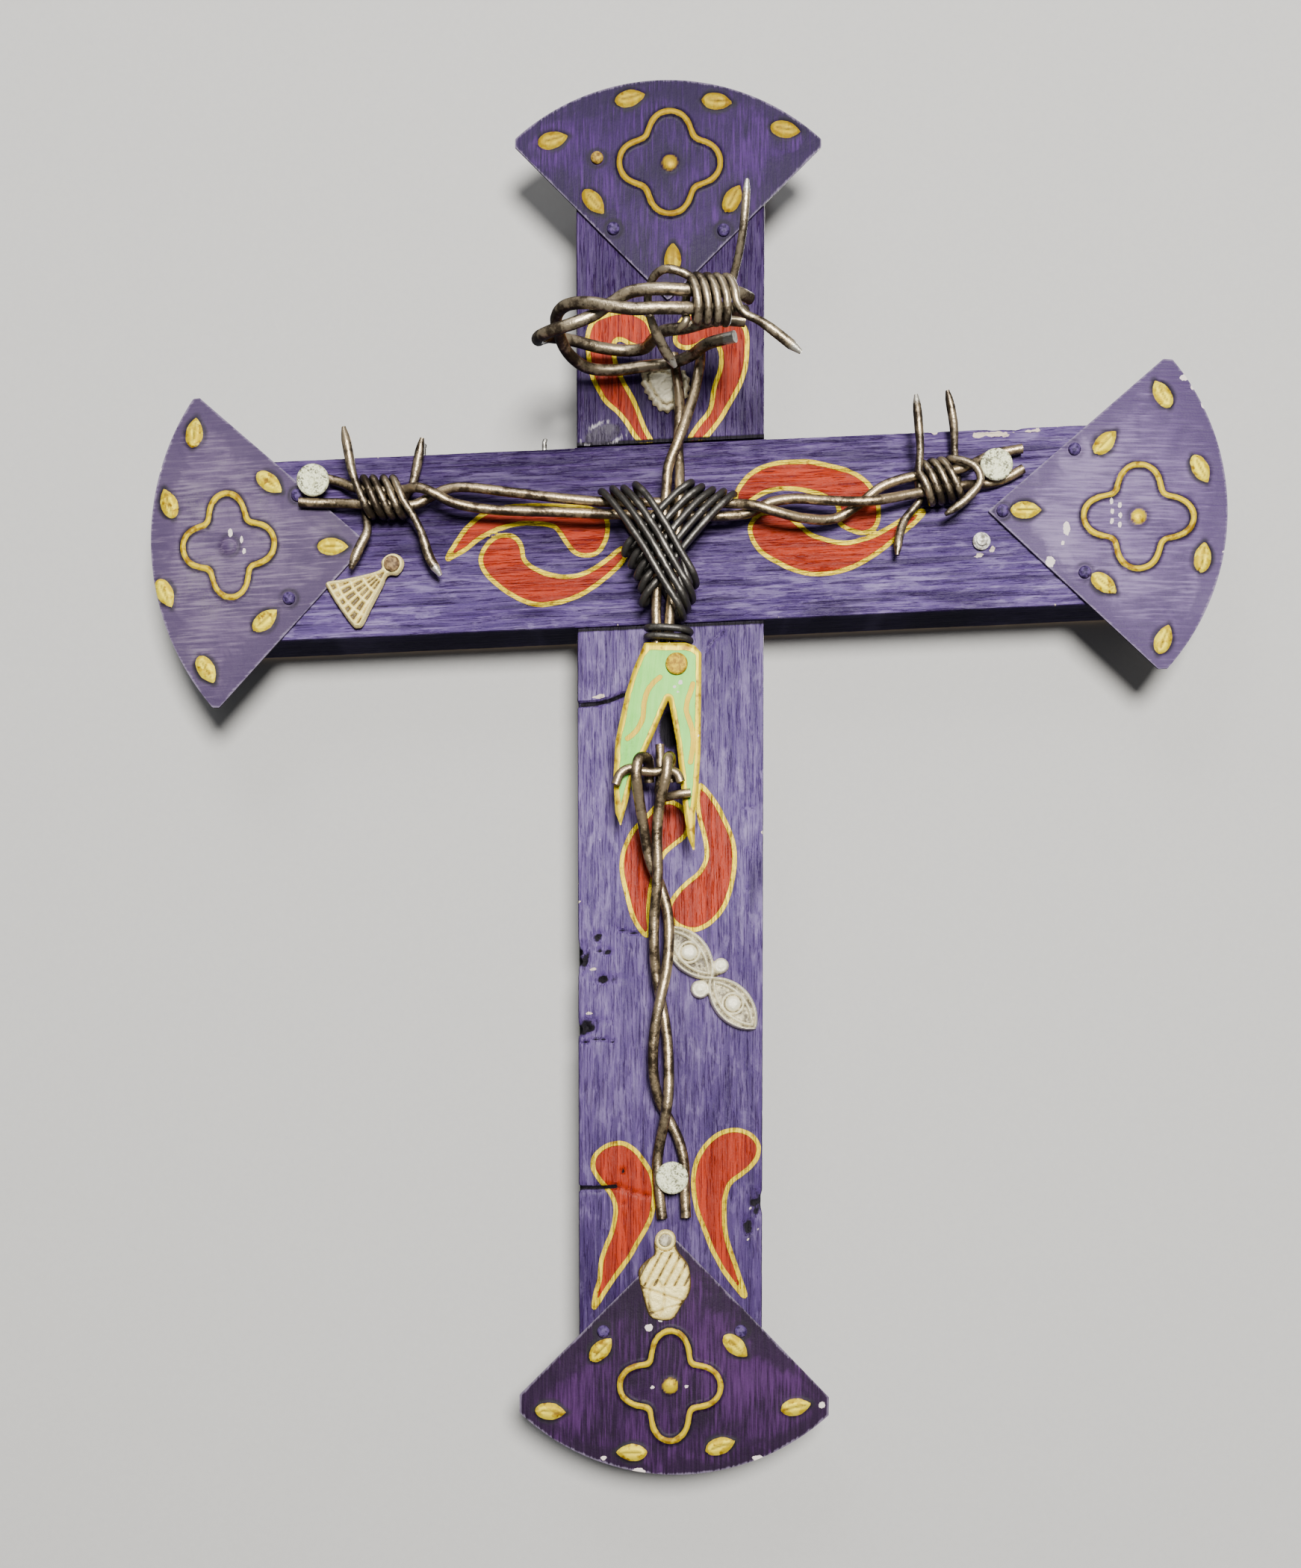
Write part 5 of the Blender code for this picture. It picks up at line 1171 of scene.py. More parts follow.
# middles of the rings that the fan-shaped charm and the hand hang by
FAN_RING = (-66.2, -8.0)
HAND_RING = (-1.3, -168.6)


def pale_metal(name, low_tint, tint, bright):
    """Cast pot metal, bright on the crests and grimed in the hollows."""
    cast = Finish(name)
    cloud = cast.noise(420.0, 4.0, 0.6)
    grit = cast.noise(2100.0, 4.0, 0.62)
    crest = cast.marks("crest") + (cloud - 0.5) * 0.5 + (grit - 0.5) * 0.35
    coat = cast.mix(cast.step(crest, 0.12, 0.38), low_tint, tint)
    coat = cast.mix(cast.step(crest, 0.42, 0.66), coat, bright)
    coat = cast.mix(cast.step(grit, 0.38, 0.28) * 0.6, coat, CAST_GRIME)
    return cast.done(Base_Color=coat, Metallic=0.12, Roughness=0.28 + grit * 0.25,
                     Normal=cast.bump(grit * 0.6 + cloud, 0.00025))


def almond(points, middle):
    """Millimetres inside the pointed oval of one eye."""
    u, v = turned_about(points, *middle, EYES_WAY)
    v = np.abs(v)
    share = u / (EYE_L / 2)
    wide = EYE_W / 2 * unit(1 - share * share) ** 0.75
    return np.where(np.abs(share) < 1, wide - v, -np.hypot(np.abs(u) - EYE_L / 2, v))


def ridge(distance, at_place, half):
    return unit(1 - ((distance - at_place) / half) ** 2)


def make_charm(name, outline, base, most, form, tint, stands_for):
    """A cast plate: form gives each point's share of the height most above a thin edge."""
    def shape(face, inside):
        lumps = grain(face, 9.9, 0.9) * 0.10 + grain(face, 4.4, 2.4) * 0.10
        share = unit(form(face, inside / MM) + lumps)
        return share

    def front(face, inside):
        eased = np.sqrt(unit(inside / 0.0005))
        return base + most * (0.30 * eased + 0.70 * shape(face, inside) * eased)

    def back(face, inside):
        return np.full(len(face), base)

    def layers(face, inside):
        return {"crest": shape(face, inside)}

    add_plate(name, outline, CHARM_CELL, pale_metal(name + "_metal", *tint), stands_for, front, back, layers)


def scalloped(outline, middle, count, depth):
    """The outline with this many small waves round its middle; depth in millimetres."""
    away = outline - np.array(middle) * MM
    way = np.arctan2(away[:, 1], away[:, 0])
    wave = depth * MM * np.cos(count * way)
    return outline + away / np.linalg.norm(away, axis=1)[:, None] * wave[:, None]


def heart_form(face, inside):
    dx, dz = face[:, 0] / MM - HEART_MIDDLE[0], face[:, 1] / MM - HEART_MIDDLE[1]
    far = np.hypot(dx / 5.8, dz / 5.4)
    ribs = 0.5 + 0.5 * np.cos(np.arctan2(dz, dx) * 15)
    beads = unit(1 - np.abs(inside - 0.7) / 0.7) * (0.35 + 0.5 * ribs)
    groove = ridge(inside, 1.5, 0.35) * 0.35
    cross = ridge(np.abs(dx * 0.6 - dz * 0.8), 1.3, 0.5) * 0.18 + ridge(np.hypot(dx, dz), 1.5, 0.6) * 0.2
    return unit(0.72 - far ** 2 * 0.42 + cross + beads * 0.3 - groove)


def fan_form(face, inside):
    x, z = face[:, 0] / MM, face[:, 1] / MM
    ring_far = far_from(face, *FAN_RING)
    rim = ridge(inside, 0.55, 0.55)
    way = np.degrees(np.arctan2(z - FAN_RING[1], x - FAN_RING[0]))
    rays = ridge((way + 151.0) / 8.0 % 1.0, 0.5, 0.30) * (ring_far > 4.4)
    bars = ridge(ring_far % 3.1, 1.5, 0.5) * (ring_far > 4.4)
    ring = ridge(ring_far, 2.2, 0.7)
    return np.maximum(np.maximum(rim * 0.95, ring), np.maximum(rays, bars) * 0.55) + 0.12


def hand_form(face, inside):
    x, z = face[:, 0] / MM, face[:, 1] / MM
    ring_far = far_from(face, *HAND_RING)
    palm = unit(inside / 1.4) ** 0.7 * 0.75
    across = (x * math.sin(math.radians(62.0)) - z * math.cos(math.radians(62.0)))
    fingers = ridge((across / 2.1) % 1.0, 0.5, 0.18) * (z > -179.5) * (z < -171.6) * 0.6
    folds = ridge(x * 0.35 + z, -182.2, 0.45) * 0.35 + ridge(x * -0.3 + z, -184.6, 0.4) * 0.3
    thumb = ridge(np.hypot(x + 3.4, (z + 182.5) * 0.5), 1.9, 0.4) * 0.3
    ring = ridge(ring_far, 1.9, 0.7)
    return np.where(ring_far < 2.7, ring * 0.9 + 0.1, palm - fingers - folds - thumb)


def eyes_form(face, inside):
    high = np.zeros(len(face))
    for middle in EYES:
        lid = almond(face, middle)
        rim = ridge(lid, 0.55, 0.5) * 0.85
        lash = ridge(lid, 2.0, 0.4) * 0.75
        far = far_from(face, *middle)
        ball = unit(1 - (far / 1.9) ** 2) ** 0.5 + ridge(far, 2.45, 0.35) * 0.5
        high = np.maximum(high, np.where(lid > 0, np.maximum(np.maximum(rim, lash), ball), 0.0))
    for x, z, r in EYE_BEADS:
        far = far_from(face, x, z)
        high = np.maximum(high, unit(1 - (far / r) ** 2) * 0.7 + ridge(far, r * 0.8, 0.4) * 0.3)
    return high + 0.2


def eyes_outline(steps=96):
    """Outer edge of the two joined almonds and the two beads beside their joint."""
    middle = np.mean(EYES, axis=0)
    points = []
    for i in range(steps):
        a = 2 * math.pi * i / steps
        ray = np.array([math.cos(a), math.sin(a)])
        reach = np.arange(0.2, 18.0, 0.05)
        line = (middle + reach[:, None] * ray) * MM
        solid = np.zeros(len(line), dtype=bool)
        for eye in EYES:
            solid |= almond(line, eye) > 0
        for x, z, r in EYE_BEADS:
            solid |= far_from(line, x, z) < r
        points.append(middle + ray * (reach[solid].max() if solid.any() else 0.6))
    return np.array(points) * MM


# grime, worn middle and rubbed crest
SILVER = ((0.080, 0.062, 0.036), (0.72, 0.65, 0.43), (0.95, 0.90, 0.68))
# the shell heart is paler than the other castings, in its hollows most: painted light against the shade the
# crown casts on it
SHELL = ((0.24, 0.19, 0.10), (0.86, 0.75, 0.46), (0.95, 0.87, 0.62))
CREAM = ((0.11, 0.070, 0.018), (0.72, 0.55, 0.15), (0.94, 0.79, 0.31))
on_wood = GAP
on_tin = GAP + TIN_T + GAP
shell_edge = scalloped(rounded(HEART, 8), (-1.2, 34.4), HEART_WAVES, 0.28)
make_charm("heart_shell", shell_edge, on_wood, 1.4 * MM, heart_form, SHELL, ["heart_charm"])
make_charm("latticed_fan", rounded(FAN_CHARM, 4), on_tin, CHARM_T, fan_form, CREAM, ["fan_charm"])
make_charm("open_hand", rounded(HAND, 4), on_tin, CHARM_T, hand_form, CREAM, ["hand_charm"])
make_charm("pair_of_eyes", eyes_outline(), on_wood, CHARM_T + 1.0 * MM, eyes_form, SILVER, ["eyes_charm"])

pin_steps = ((1.0, 0.0), (1.0, 0.3), (0.9, 0.55), (0.7, 0.8), (0.4, 0.96), (0.1, 1.0))
pin_floor = on_tin + CHARM_T * 0.9 + GAP
make_driven("fan_charm_pin", lathe([(1.9 * MM * r, pin_floor + 0.9 * MM * h) for r, h in pin_steps], 18),
            [on_face(*FAN_RING)], tack_paint("brown_pin", (0.10, 0.06, 0.03), (0.34, 0.22, 0.10)),
            ["fan_charm_tack"])
make_driven("hand_charm_pin", lathe([(1.5 * MM * r, pin_floor + 0.8 * MM * h) for r, h in pin_steps], 18),
            [on_face(*HAND_RING)], tack_paint("pale_pin", (0.26, 0.22, 0.14), (0.66, 0.60, 0.44)),
            ["hand_charm_tack"])


# Small loose nails
# Two bent brads left in the crossbar's top edge, and a stub whose charm has gone, in the right arm.
# Bright steel, never painted.

BRAD_R = 0.0006
BRAD_L = 0.0030
# how far along the crossbar's top edge each brad stands, and how far back from its face
BRAD_PLACES = (-58.3, -29.3)
BRAD_BACK = 3.0
STUB_PLACE = (74.1, -2.1)


def make_bright_steel():
    steel = Finish("bright_steel")
    cloud = steel.noise(900.0, 4.0)
    coat = steel.mix(steel.step(cloud, 0.35, 0.65), (0.20, 0.19, 0.17), (0.66, 0.65, 0.60))
    return steel.done(Base_Color=coat, Metallic=0.8, Roughness=0.25 + cloud * 0.25,
                      Normal=steel.bump(cloud, 0.00015))


def sweep(path, radii, sides):
    """Round bar through a line of points, both ends closed."""
    points = []
    normal = None
    last = len(path) - 1
    for i, (point, radius) in enumerate(zip(path, radii)):
        along = (path[min(i + 1, last)] - path[max(i - 1, 0)]).normalized()
        normal = normal or along.orthogonal().normalized()
        normal = (normal - along * normal.dot(along)).normalized()
        across = along.cross(normal)
        for k in range(sides):
            a = 2 * math.pi * k / sides
            points.append(point + radius * (math.cos(a) * normal + math.sin(a) * across))
    return points, tube_faces(len(path), sides)


bright_steel = make_bright_steel()
bar_up = Vector((-math.sin(BAR_TILT), 0.0, math.cos(BAR_TILT)))
bar_along = Vector((math.cos(BAR_TILT), 0.0, math.sin(BAR_TILT)))
for number, place in enumerate(BRAD_PLACES, start=1):
    foot = (bar_along * (place * MM) + bar_up * (BAR_W / 2 + GAP)
            + Vector((0.0, -BOARD_T + BRAD_BACK * MM, 0.0)))
    path = [foot + bar_up * BRAD_L * share for share in (0.0, 0.25, 0.5, 0.7, 0.88, 1.0)]
    path = [p + bar_along * BRAD_R * share for p, share in zip(path, (0.0, 0.0, 0.02, 0.1, 0.5, 1.0))]
    points, faces = sweep(path, [BRAD_R * r for r in (1.0, 1.0, 1.0, 1.0, 0.95, 0.5)], 12)
    make_piece("loose_brad_" + str(number), points, faces, bright_steel, ["brad_" + str(number)])
stub_steps = [(2.1 * MM * r, GAP + 1.5 * MM * h) for r, h in (
    (1.0, 0.0), (1.0, 0.3), (0.85, 0.42), (0.62, 0.5), (0.6, 0.9), (0.45, 1.0), (0.2, 0.86), (0.05, 0.84))]
make_driven("stub_of_nail", lathe(stub_steps, 20, 0.00025, 6.0), [on_face(*STUB_PLACE)],
            tack_paint("stub_metal", (0.22, 0.20, 0.16), (0.86, 0.84, 0.76), 0.6), ["stray_nail"])

# Wire figure
# Rusty line wire and old barbed wire, bent by hand: arms and legs of two twisted strands, a neck,
# and a crown of barbed wire standing off it, with barbs wrapped where the hands and the brow are.
# The chest is bound across with thin black wire, wound over both shoulders.

BIND_R = 0.00085
NECK_R = 0.00125
BARB_R = 0.00095
CROWN_R = 0.0014
LEG_R = 0.0013
HIP_R = 0.0011

ARM_ROUTE_1 = [
    (-81.6, 12.4, 1.6), (-78.4, 11.4, 2.0), (-75.6, 9.9, 3.4), (-72.6, 9.0, 4.1), (-69.0, 8.8, 4.1),
    (-65.2, 8.9, 4.1), (-62.8, 9.0, 4.3), (-60.0, 8.9, 6.4), (-57.6, 8.2, 7.1), (-55.0, 7.0, 7.0),
    (-51.0, 5.2, 6.4), (-42.0, 3.9, 5.6), (-27.1, 3.3, 5.7), (-15.5, 2.8, 5.7), (0.0, 2.5, 5.7),
    (13.0, 2.4, 5.5), (18.4, 3.4, 4.6), (23.4, 5.8, 4.7), (29.2, 6.6, 5.2), (35.6, 6.0, 6.0),
    (42.0, 5.4, 7.0), (48.0, 5.7, 6.8), (53.6, 7.0, 5.5), (58.6, 8.2, 4.6), (64.0, 9.2, 4.2),
    (69.0, 10.0, 4.0), (73.0, 10.9, 2.2), (77.0, 11.6, 1.6), (80.6, 13.0, 1.6), (83.8, 14.8, 1.7)]
ARM_ROUTE_2 = [
    (-88.2, 6.6, 2.5), (-84.0, 6.4, 2.5), (-79.0, 6.3, 2.6), (-75.8, 5.9, 3.5), (-72.6, 5.6, 4.1),
    (-69.0, 5.5, 4.1), (-65.2, 5.6, 4.1), (-61.0, 5.4, 4.0), (-57.0, 7.3, 3.9), (-53.0, 9.0, 4.6),
    (-49.0, 9.3, 5.2), (-37.0, 7.9, 5.6), (-27.1, 6.7, 5.7), (-15.5, 5.7, 5.7), (0.0, 5.5, 5.8),
    (10.0, 5.4, 5.8), (15.4, 5.1, 6.2), (19.6, 4.3, 7.6), (24.4, 2.9, 7.6), (31.0, 1.8, 6.0),
    (38.6, 2.2, 4.0), (44.0, 5.2, 4.0), (49.4, 9.4, 4.4), (53.8, 11.2, 4.5), (58.6, 12.3, 4.4),
    (64.0, 13.1, 4.2), (69.0, 14.2, 3.9), (71.4, 15.6, 2.4), (73.2, 16.7, 1.7), (77.0, 18.4, 1.6),
    (80.4, 19.0, 1.6), (83.6, 19.6, 1.7)]

NECK_ROUTE_1 = [
    (0.6, 41.6, 2.9), (1.2, 37.4, 3.2), (2.0, 31.0, 5.0), (2.0, 24.2, 6.2), (1.7, 18.2, 6.4),
    (2.0, 13.0, 7.2), (2.0, 9.4, 8.1), (1.9, 4.0, 8.4), (1.5, -3.0, 8.4), (0.9, -10.0, 7.6),
    (0.1, -17.0, 6.6), (-0.4, -24.0, 6.0), (-0.4, -33.0, 5.6)]
NECK_ROUTE_2 = [
    (7.0, 41.4, 4.6), (6.9, 38.8, 5.6), (6.5, 36.0, 7.2), (5.4, 30.5, 7.8), (3.6, 24.5, 9.0),
    (1.6, 18.5, 9.6), (-0.6, 13.0, 9.0), (-1.0, 8.6, 8.4), (-1.6, 1.0, 8.4), (-2.5, -7.0, 8.0),
    (-3.2, -14.0, 7.0), (-3.5, -20.0, 6.2), (-3.4, -26.0, 6.0), (-3.4, -33.0, 5.6)]

LEG_ROUTE_1 = [
    (-5.2, -60.6, 7.0), (-5.2, -57.6, 8.0), (-5.6, -55.6, 10.9), (-7.4, -56.0, 13.2), (-8.1, -59.8, 13.6),
    (-7.4, -65.4, 11.2), (-6.2, -72.5, 8.4), (-4.9, -79.0, 6.4), (-2.4, -85.0, 5.6), (-0.7, -91.5, 6.2),
    (-0.5, -98.5, 6.6), (-1.1, -105.0, 7.2), (-2.6, -112.0, 7.4), (-3.9, -119.5, 6.4),
    (-4.2, -128.0, 5.0), (-2.9, -135.0, 3.0), (-0.6, -139.6, 1.8), (1.9, -144.8, 1.7), (3.1, -150.0, 1.7),
    (3.3, -156.1, 1.7), (3.6, -163.3, 1.8)]
LEG_ROUTE_2 = [
    (0.1, -60.6, 7.0), (0.0, -57.6, 7.8), (-0.2, -55.3, 10.6), (-0.7, -56.0, 13.2), (-1.2, -60.0, 13.6),
    (-2.7, -66.5, 11.4), (-3.3, -74.0, 9.9), (-3.1, -80.5, 9.2), (-3.3, -85.5, 8.6), (-3.9, -92.0, 7.0),
    (-4.0, -99.0, 6.2), (-3.5, -105.5, 4.9), (-2.3, -112.0, 4.4), (-1.0, -119.5, 4.6),
    (-0.5, -127.0, 5.0), (-0.6, -134.0, 5.7), (-1.4, -139.6, 5.1), (-2.4, -144.6, 2.9),
    (-3.1, -149.2, 1.7), (-2.9, -155.1, 1.7), (-2.0, -163.6, 1.8)]

HIP_ROUTE_1 = [
    (-12.9, -61.8, 11.2), (-11.8, -59.2, 11.1), (-9.6, -57.9, 11.0), (-6.6, -58.6, 10.9),
    (-3.6, -58.8, 10.9), (-0.6, -58.3, 10.8), (1.4, -59.2, 11.0), (2.3, -61.2, 11.1)]
HIP_ROUTE_2 = [
    (4.6, -63.6, 11.0), (1.6, -64.0, 10.8), (-1.4, -64.4, 9.2), (-2.8, -63.4, 7.4), (-2.6, -60.4, 6.6),
    (-2.5, -56.0, 6.4), (-2.6, -51.6, 6.6)]

CROWN_ROUTE_1 = [
    (14.6, 40.2, 17.0), (8.2, 39.9, 13.2), (4.9, 39.2, 8.6), (0.5, 38.3, 6.3), (-6.8, 37.7, 5.2),
    (-13.7, 37.0, 5.0), (-19.8, 36.9, 7.0), (-24.0, 38.4, 12.0), (-25.8, 40.4, 18.6), (-26.0, 41.4, 25.0),
    (-23.6, 41.5, 31.0), (-18.8, 40.4, 35.2), (-13.2, 38.8, 37.2), (-8.5, 38.0, 37.8), (-3.9, 38.1, 38.0),
    (3.0, 38.5, 37.0), (7.7, 39.2, 35.1), (13.4, 40.0, 32.8), (16.2, 40.6, 30.0)]
CROWN_ROUTE_2 = [
    (16.6, 41.6, 22.4), (10.3, 41.6, 23.0), (3.2, 39.8, 23.0), (-2.0, 40.2, 20.0), (-4.2, 41.2, 12.6),
    (-6.4, 41.4, 6.8), (-10.4, 41.6, 5.0), (-16.6, 41.9, 6.0), (-22.6, 42.4, 8.8), (-28.2, 41.4, 13.6),
    (-30.4, 38.2, 20.0), (-29.6, 36.6, 26.4), (-26.4, 36.1, 31.0), (-22.0, 36.7, 33.0),
    (-17.4, 38.6, 33.0), (-13.6, 41.0, 33.4), (-9.4, 42.6, 35.4), (-3.9, 42.6, 37.2), (3.0, 42.5, 37.0),
    (7.7, 43.1, 35.1), (14.4, 43.8, 32.4), (17.4, 43.8, 29.2)]

# Where each chest wrap passes over the shoulder, its height just in front of it, and its waist turn
LEFT_SHOULDERS = ((-16.4, 8.4, 8.1), (-13.6, 8.8, 8.2), (-11.0, 8.9, 8.4), (-8.2, 9.6, 9.0))
LEFT_WAIST = ((2.5, -22.0), (3.6, -19.8), (4.8, -17.6), (5.6, -14.0))
RIGHT_SHOULDERS = ((14.9, 7.8, 8.1), (12.3, 8.2, 8.1), (9.7, 8.6, 8.3), (7.1, 9.1, 9.2), (4.6, 9.8, 10.3))
RIGHT_WAIST = ((-6.4, -18.6), (-6.7, -15.4), (-7.6, -12.4), (-9.0, -9.6), (-10.6, -6.8))

# Lines that the barbs are wrapped round, between the two wires of each arm and of the crown,
# how far apart those two wires are, and how loosely the barbs are wound
LEFT_STRANDS = 0.0034
RIGHT_STRANDS = 0.0042
CROWN_STRANDS = 0.0042
COIL_EASE = 0.00025
LEFT_BARB_LINE = ((-73.6, 7.3, 4.1), (-63.0, 7.3, 4.1))
RIGHT_BARB_LINE = ((58.6, 10.2, 4.6), (64.0, 11.1, 4.2), (69.0, 12.1, 4.0))
CROWN_BARB_LINE = ((3.4, 40.55, 36.85), (12.4, 41.8, 33.2))


def at(x, z, height):
    """Point at x and z on the cross, this far in front of the painted face; all in metres."""
    return Vector((x, -(BOARD_T + height), z))


def smooth_path(points, per_span):
    """Catmull-Rom curve through the points, with this many steps in each span."""
    route = [Vector(p) for p in points]
    route = [2 * route[0] - route[1]] + route + [2 * route[-1] - route[-2]]
    curve = []
    for a, b, c, d in zip(route, route[1:], route[2:], route[3:]):
        t1 = max((b - a).length, 1e-6) ** 0.5
        t2 = t1 + max((c - b).length, 1e-6) ** 0.5
        t3 = t2 + max((d - c).length, 1e-6) ** 0.5
        for step in range(per_span):
            t = t1 + (t2 - t1) * step / per_span
            ab = a * (t1 - t) / t1 + b * t / t1
            bc = b * (t2 - t) / (t2 - t1) + c * (t - t1) / (t2 - t1)
            cd = c * (t3 - t) / (t3 - t2) + d * (t - t2) / (t3 - t2)
            abc = ab * (t2 - t) / t2 + bc * t / t2
            bcd = bc * (t3 - t) / (t3 - t1) + cd * (t - t1) / (t3 - t1)
            curve.append(abc * (t2 - t) / (t2 - t1) + bcd * (t - t1) / (t2 - t1))
    curve.append(route[-2])
    return curve


def route_mm(points):
    return [at(x * MM, z * MM, height * MM) for x, z, height in points]


def coil(centres, pitch, angles, reach_up, reach_out, slant=0.0, shift=0.0, per_turn=10):
    """Points of a wrap round the line through the centres, oval, leaning along it by slant.

    The angle starts at the top and turns towards the viewer; angles holds the first and the last
    in degrees, and the wrap moves one pitch along the line in each turn.
    """
    out = Vector((0.0, -1.0, 0.0))
    count = round((angles[1] - angles[0]) / 360 * per_turn)
    points = []
    for i in range(count + 1):
        degrees = angles[0] + (angles[1] - angles[0]) * i / count
        angle = math.radians(degrees)
        centre, along = walk(centres, shift + pitch * (degrees - angles[0]) / 360)
        front = (out - along * out.dot(along)).normalized()
        up = front.cross(along)
        points.append(centre + up * reach_up * math.cos(angle) + front * reach_out * math.sin(angle)
                      - along * slant * 0.5 * math.cos(angle))
    return points


def walk(points, distance):
    """Place and direction this far along a line of points, running on straight past its ends."""
    for i, (a, b) in enumerate(zip(points, points[1:])):
        length = (b - a).length
        if distance <= length or i == len(points) - 2:
            along = (b - a).normalized()
            return a + along * distance, along
        distance -= length


def chest_route(shoulders, waists, back, front, side):
    """One binding wire: over the shoulder, down across the chest, round the waist and up behind.

    side is +1 where the waist turn is to the right, -1 where it is to the left.
    """
    points = []
    for number, ((sx, sz, near), (wx, wz)) in enumerate(zip(shoulders, waists)):
        dx, dz = wx - sx, wz - sz
        points.append((sx - side * 0.1, sz, 4.6))
        points.append((sx + dx * 0.03, sz - 1.2, near))
        points.append((sx + dx * 0.20, sz + dz * 0.19, near + (front - near) * 0.7))
        points.append((sx + dx * 0.50, sz + dz * 0.47, front))
        points.append((sx + dx * 0.78, sz + dz * 0.76, front - 0.4))
        points.append((wx - side * 0.6, wz + 1.8, front - 1.6))
        points.append((wx + side * 0.35, wz, (front + back) / 2))
        points.append((wx - side * 0.9, wz + 1.4, back + 0.5))
        if number + 1 < len(shoulders):
            nx, nz = shoulders[number + 1][:2]
        else:
            nx, nz = sx + side * 2.7, sz
        points.append((wx + (nx - wx) * 0.35, wz + (nz - wz) * 0.40, back))
        points.append((wx + (nx - wx) * 0.8, wz + (nz - wz) * 0.78, back))
    return points


def waist_path():
    """Two tight turns that tie the neck wires above the loincloth."""
    middle = at(-0.55 * MM, -23.6 * MM, 6.0 * MM)
    reach_x, reach_out = 5.1 * MM, 2.95 * MM
    pitch = 2 * BIND_R + 0.35 * MM
    turns, steps = 2, 12
    path = []
    for i in range(turns * steps + 1):
        angle = 2 * math.pi * i / steps + math.pi / 2
        path.append(middle + Vector((reach_x * math.cos(angle), reach_out * math.sin(angle),
                                     -pitch * i / steps)))
    return path


def barb_routes():
    """Name and points of each barb wire: two wires, wrapped side by side, with a tail at each end."""
    pitch = 2 * (2 * BARB_R + GAP + 0.15 * MM)
    on_arm = ARM_R + GAP + BARB_R + COIL_EASE
    on_crown = CROWN_R + GAP + BARB_R + COIL_EASE
    left_up = on_arm + LEFT_STRANDS / 2
    right_up = on_arm + RIGHT_STRANDS / 2
    crown_up = on_crown + CROWN_STRANDS / 2
    arm_out = on_arm + COIL_EASE
    crown_out = on_crown + COIL_EASE
    routes = []

    def barb(name, lead, line, shift, angles, reach_up, reach_out, slant, tail):
        turns = coil(route_mm(line), pitch, angles, reach_up, reach_out, slant, shift * MM)
        routes.append((name, route_mm(lead) + turns + route_mm(tail)))

    barb("left_hand_barb_1", [(-76.7, 22.6, 8.0), (-75.6, 16.7, 7.8), (-74.9, 12.6, 7.2)],
         LEFT_BARB_LINE, 0.4, (70, 830), left_up, arm_out, 2.2 * MM,
         [(-60.6, 2.2, 5.8), (-59.0, -1.0, 5.2), (-56.9, -7.3, 4.4), (-54.4, -11.3, 4.0)])
    barb("left_hand_barb_2", [(-75.8, -9.6, 3.8), (-73.6, -4.4, 3.8), (-71.8, -0.6, 3.8)],
         LEFT_BARB_LINE, 0.2, (225, 990), left_up, arm_out, 2.2 * MM,
         [(-61.4, 11.2, 1.35), (-60.2, 15.8, 2.0), (-58.9, 21.7, 3.0)])
    barb("right_hand_barb_1", [(57.3, 29.8, 9.0), (58.0, 22.0, 8.8), (58.4, 17.0, 8.1)],
         RIGHT_BARB_LINE, 0.2, (60, 745), right_up, arm_out, 1.2 * MM,
         [(71.2, 14.0, 6.9), (72.8, 10.6, 6.8), (69.8, 6.4, 6.4), (64.6, 2.7, 5.6)])
    barb("right_hand_barb_2", [(53.6, -6.3, 3.6), (54.2, -1.6, 3.0), (55.6, 2.6, 2.2)],
         RIGHT_BARB_LINE, 0.1, (235, 960), right_up, arm_out, 1.2 * MM,
         [(67.4, 17.6, 2.4), (66.8, 24.5, 4.6), (65.1, 31.9, 6.0)])
    barb("crown_barb_1", [(0.8, 30.2, 25.0), (-2.2, 33.6, 28.6), (-4.8, 38.2, 32.4), (-5.4, 42.6, 32.6),
                          (-4.2, 46.0, 35.0), (-1.0, 46.4, 38.6)],
         CROWN_BARB_LINE, 0.0, (30, 830), crown_up, crown_out, -0.8 * MM,
         [(15.6, 38.4, 35.0), (19.6, 36.2, 35.2), (28.4, 29.8, 34.4)])
    barb("crown_barb_2", [(0.6, 34.6, 33.0)],
         CROWN_BARB_LINE, 0.0, (215, 950), crown_up, crown_out, -0.8 * MM,
         [(12.7, 44.8, 29.6), (13.6, 48.0, 31.0), (14.6, 51.4, 34.0), (15.6, 57.0, 37.6),
          (16.2, 65.6, 39.4)])
    return routes


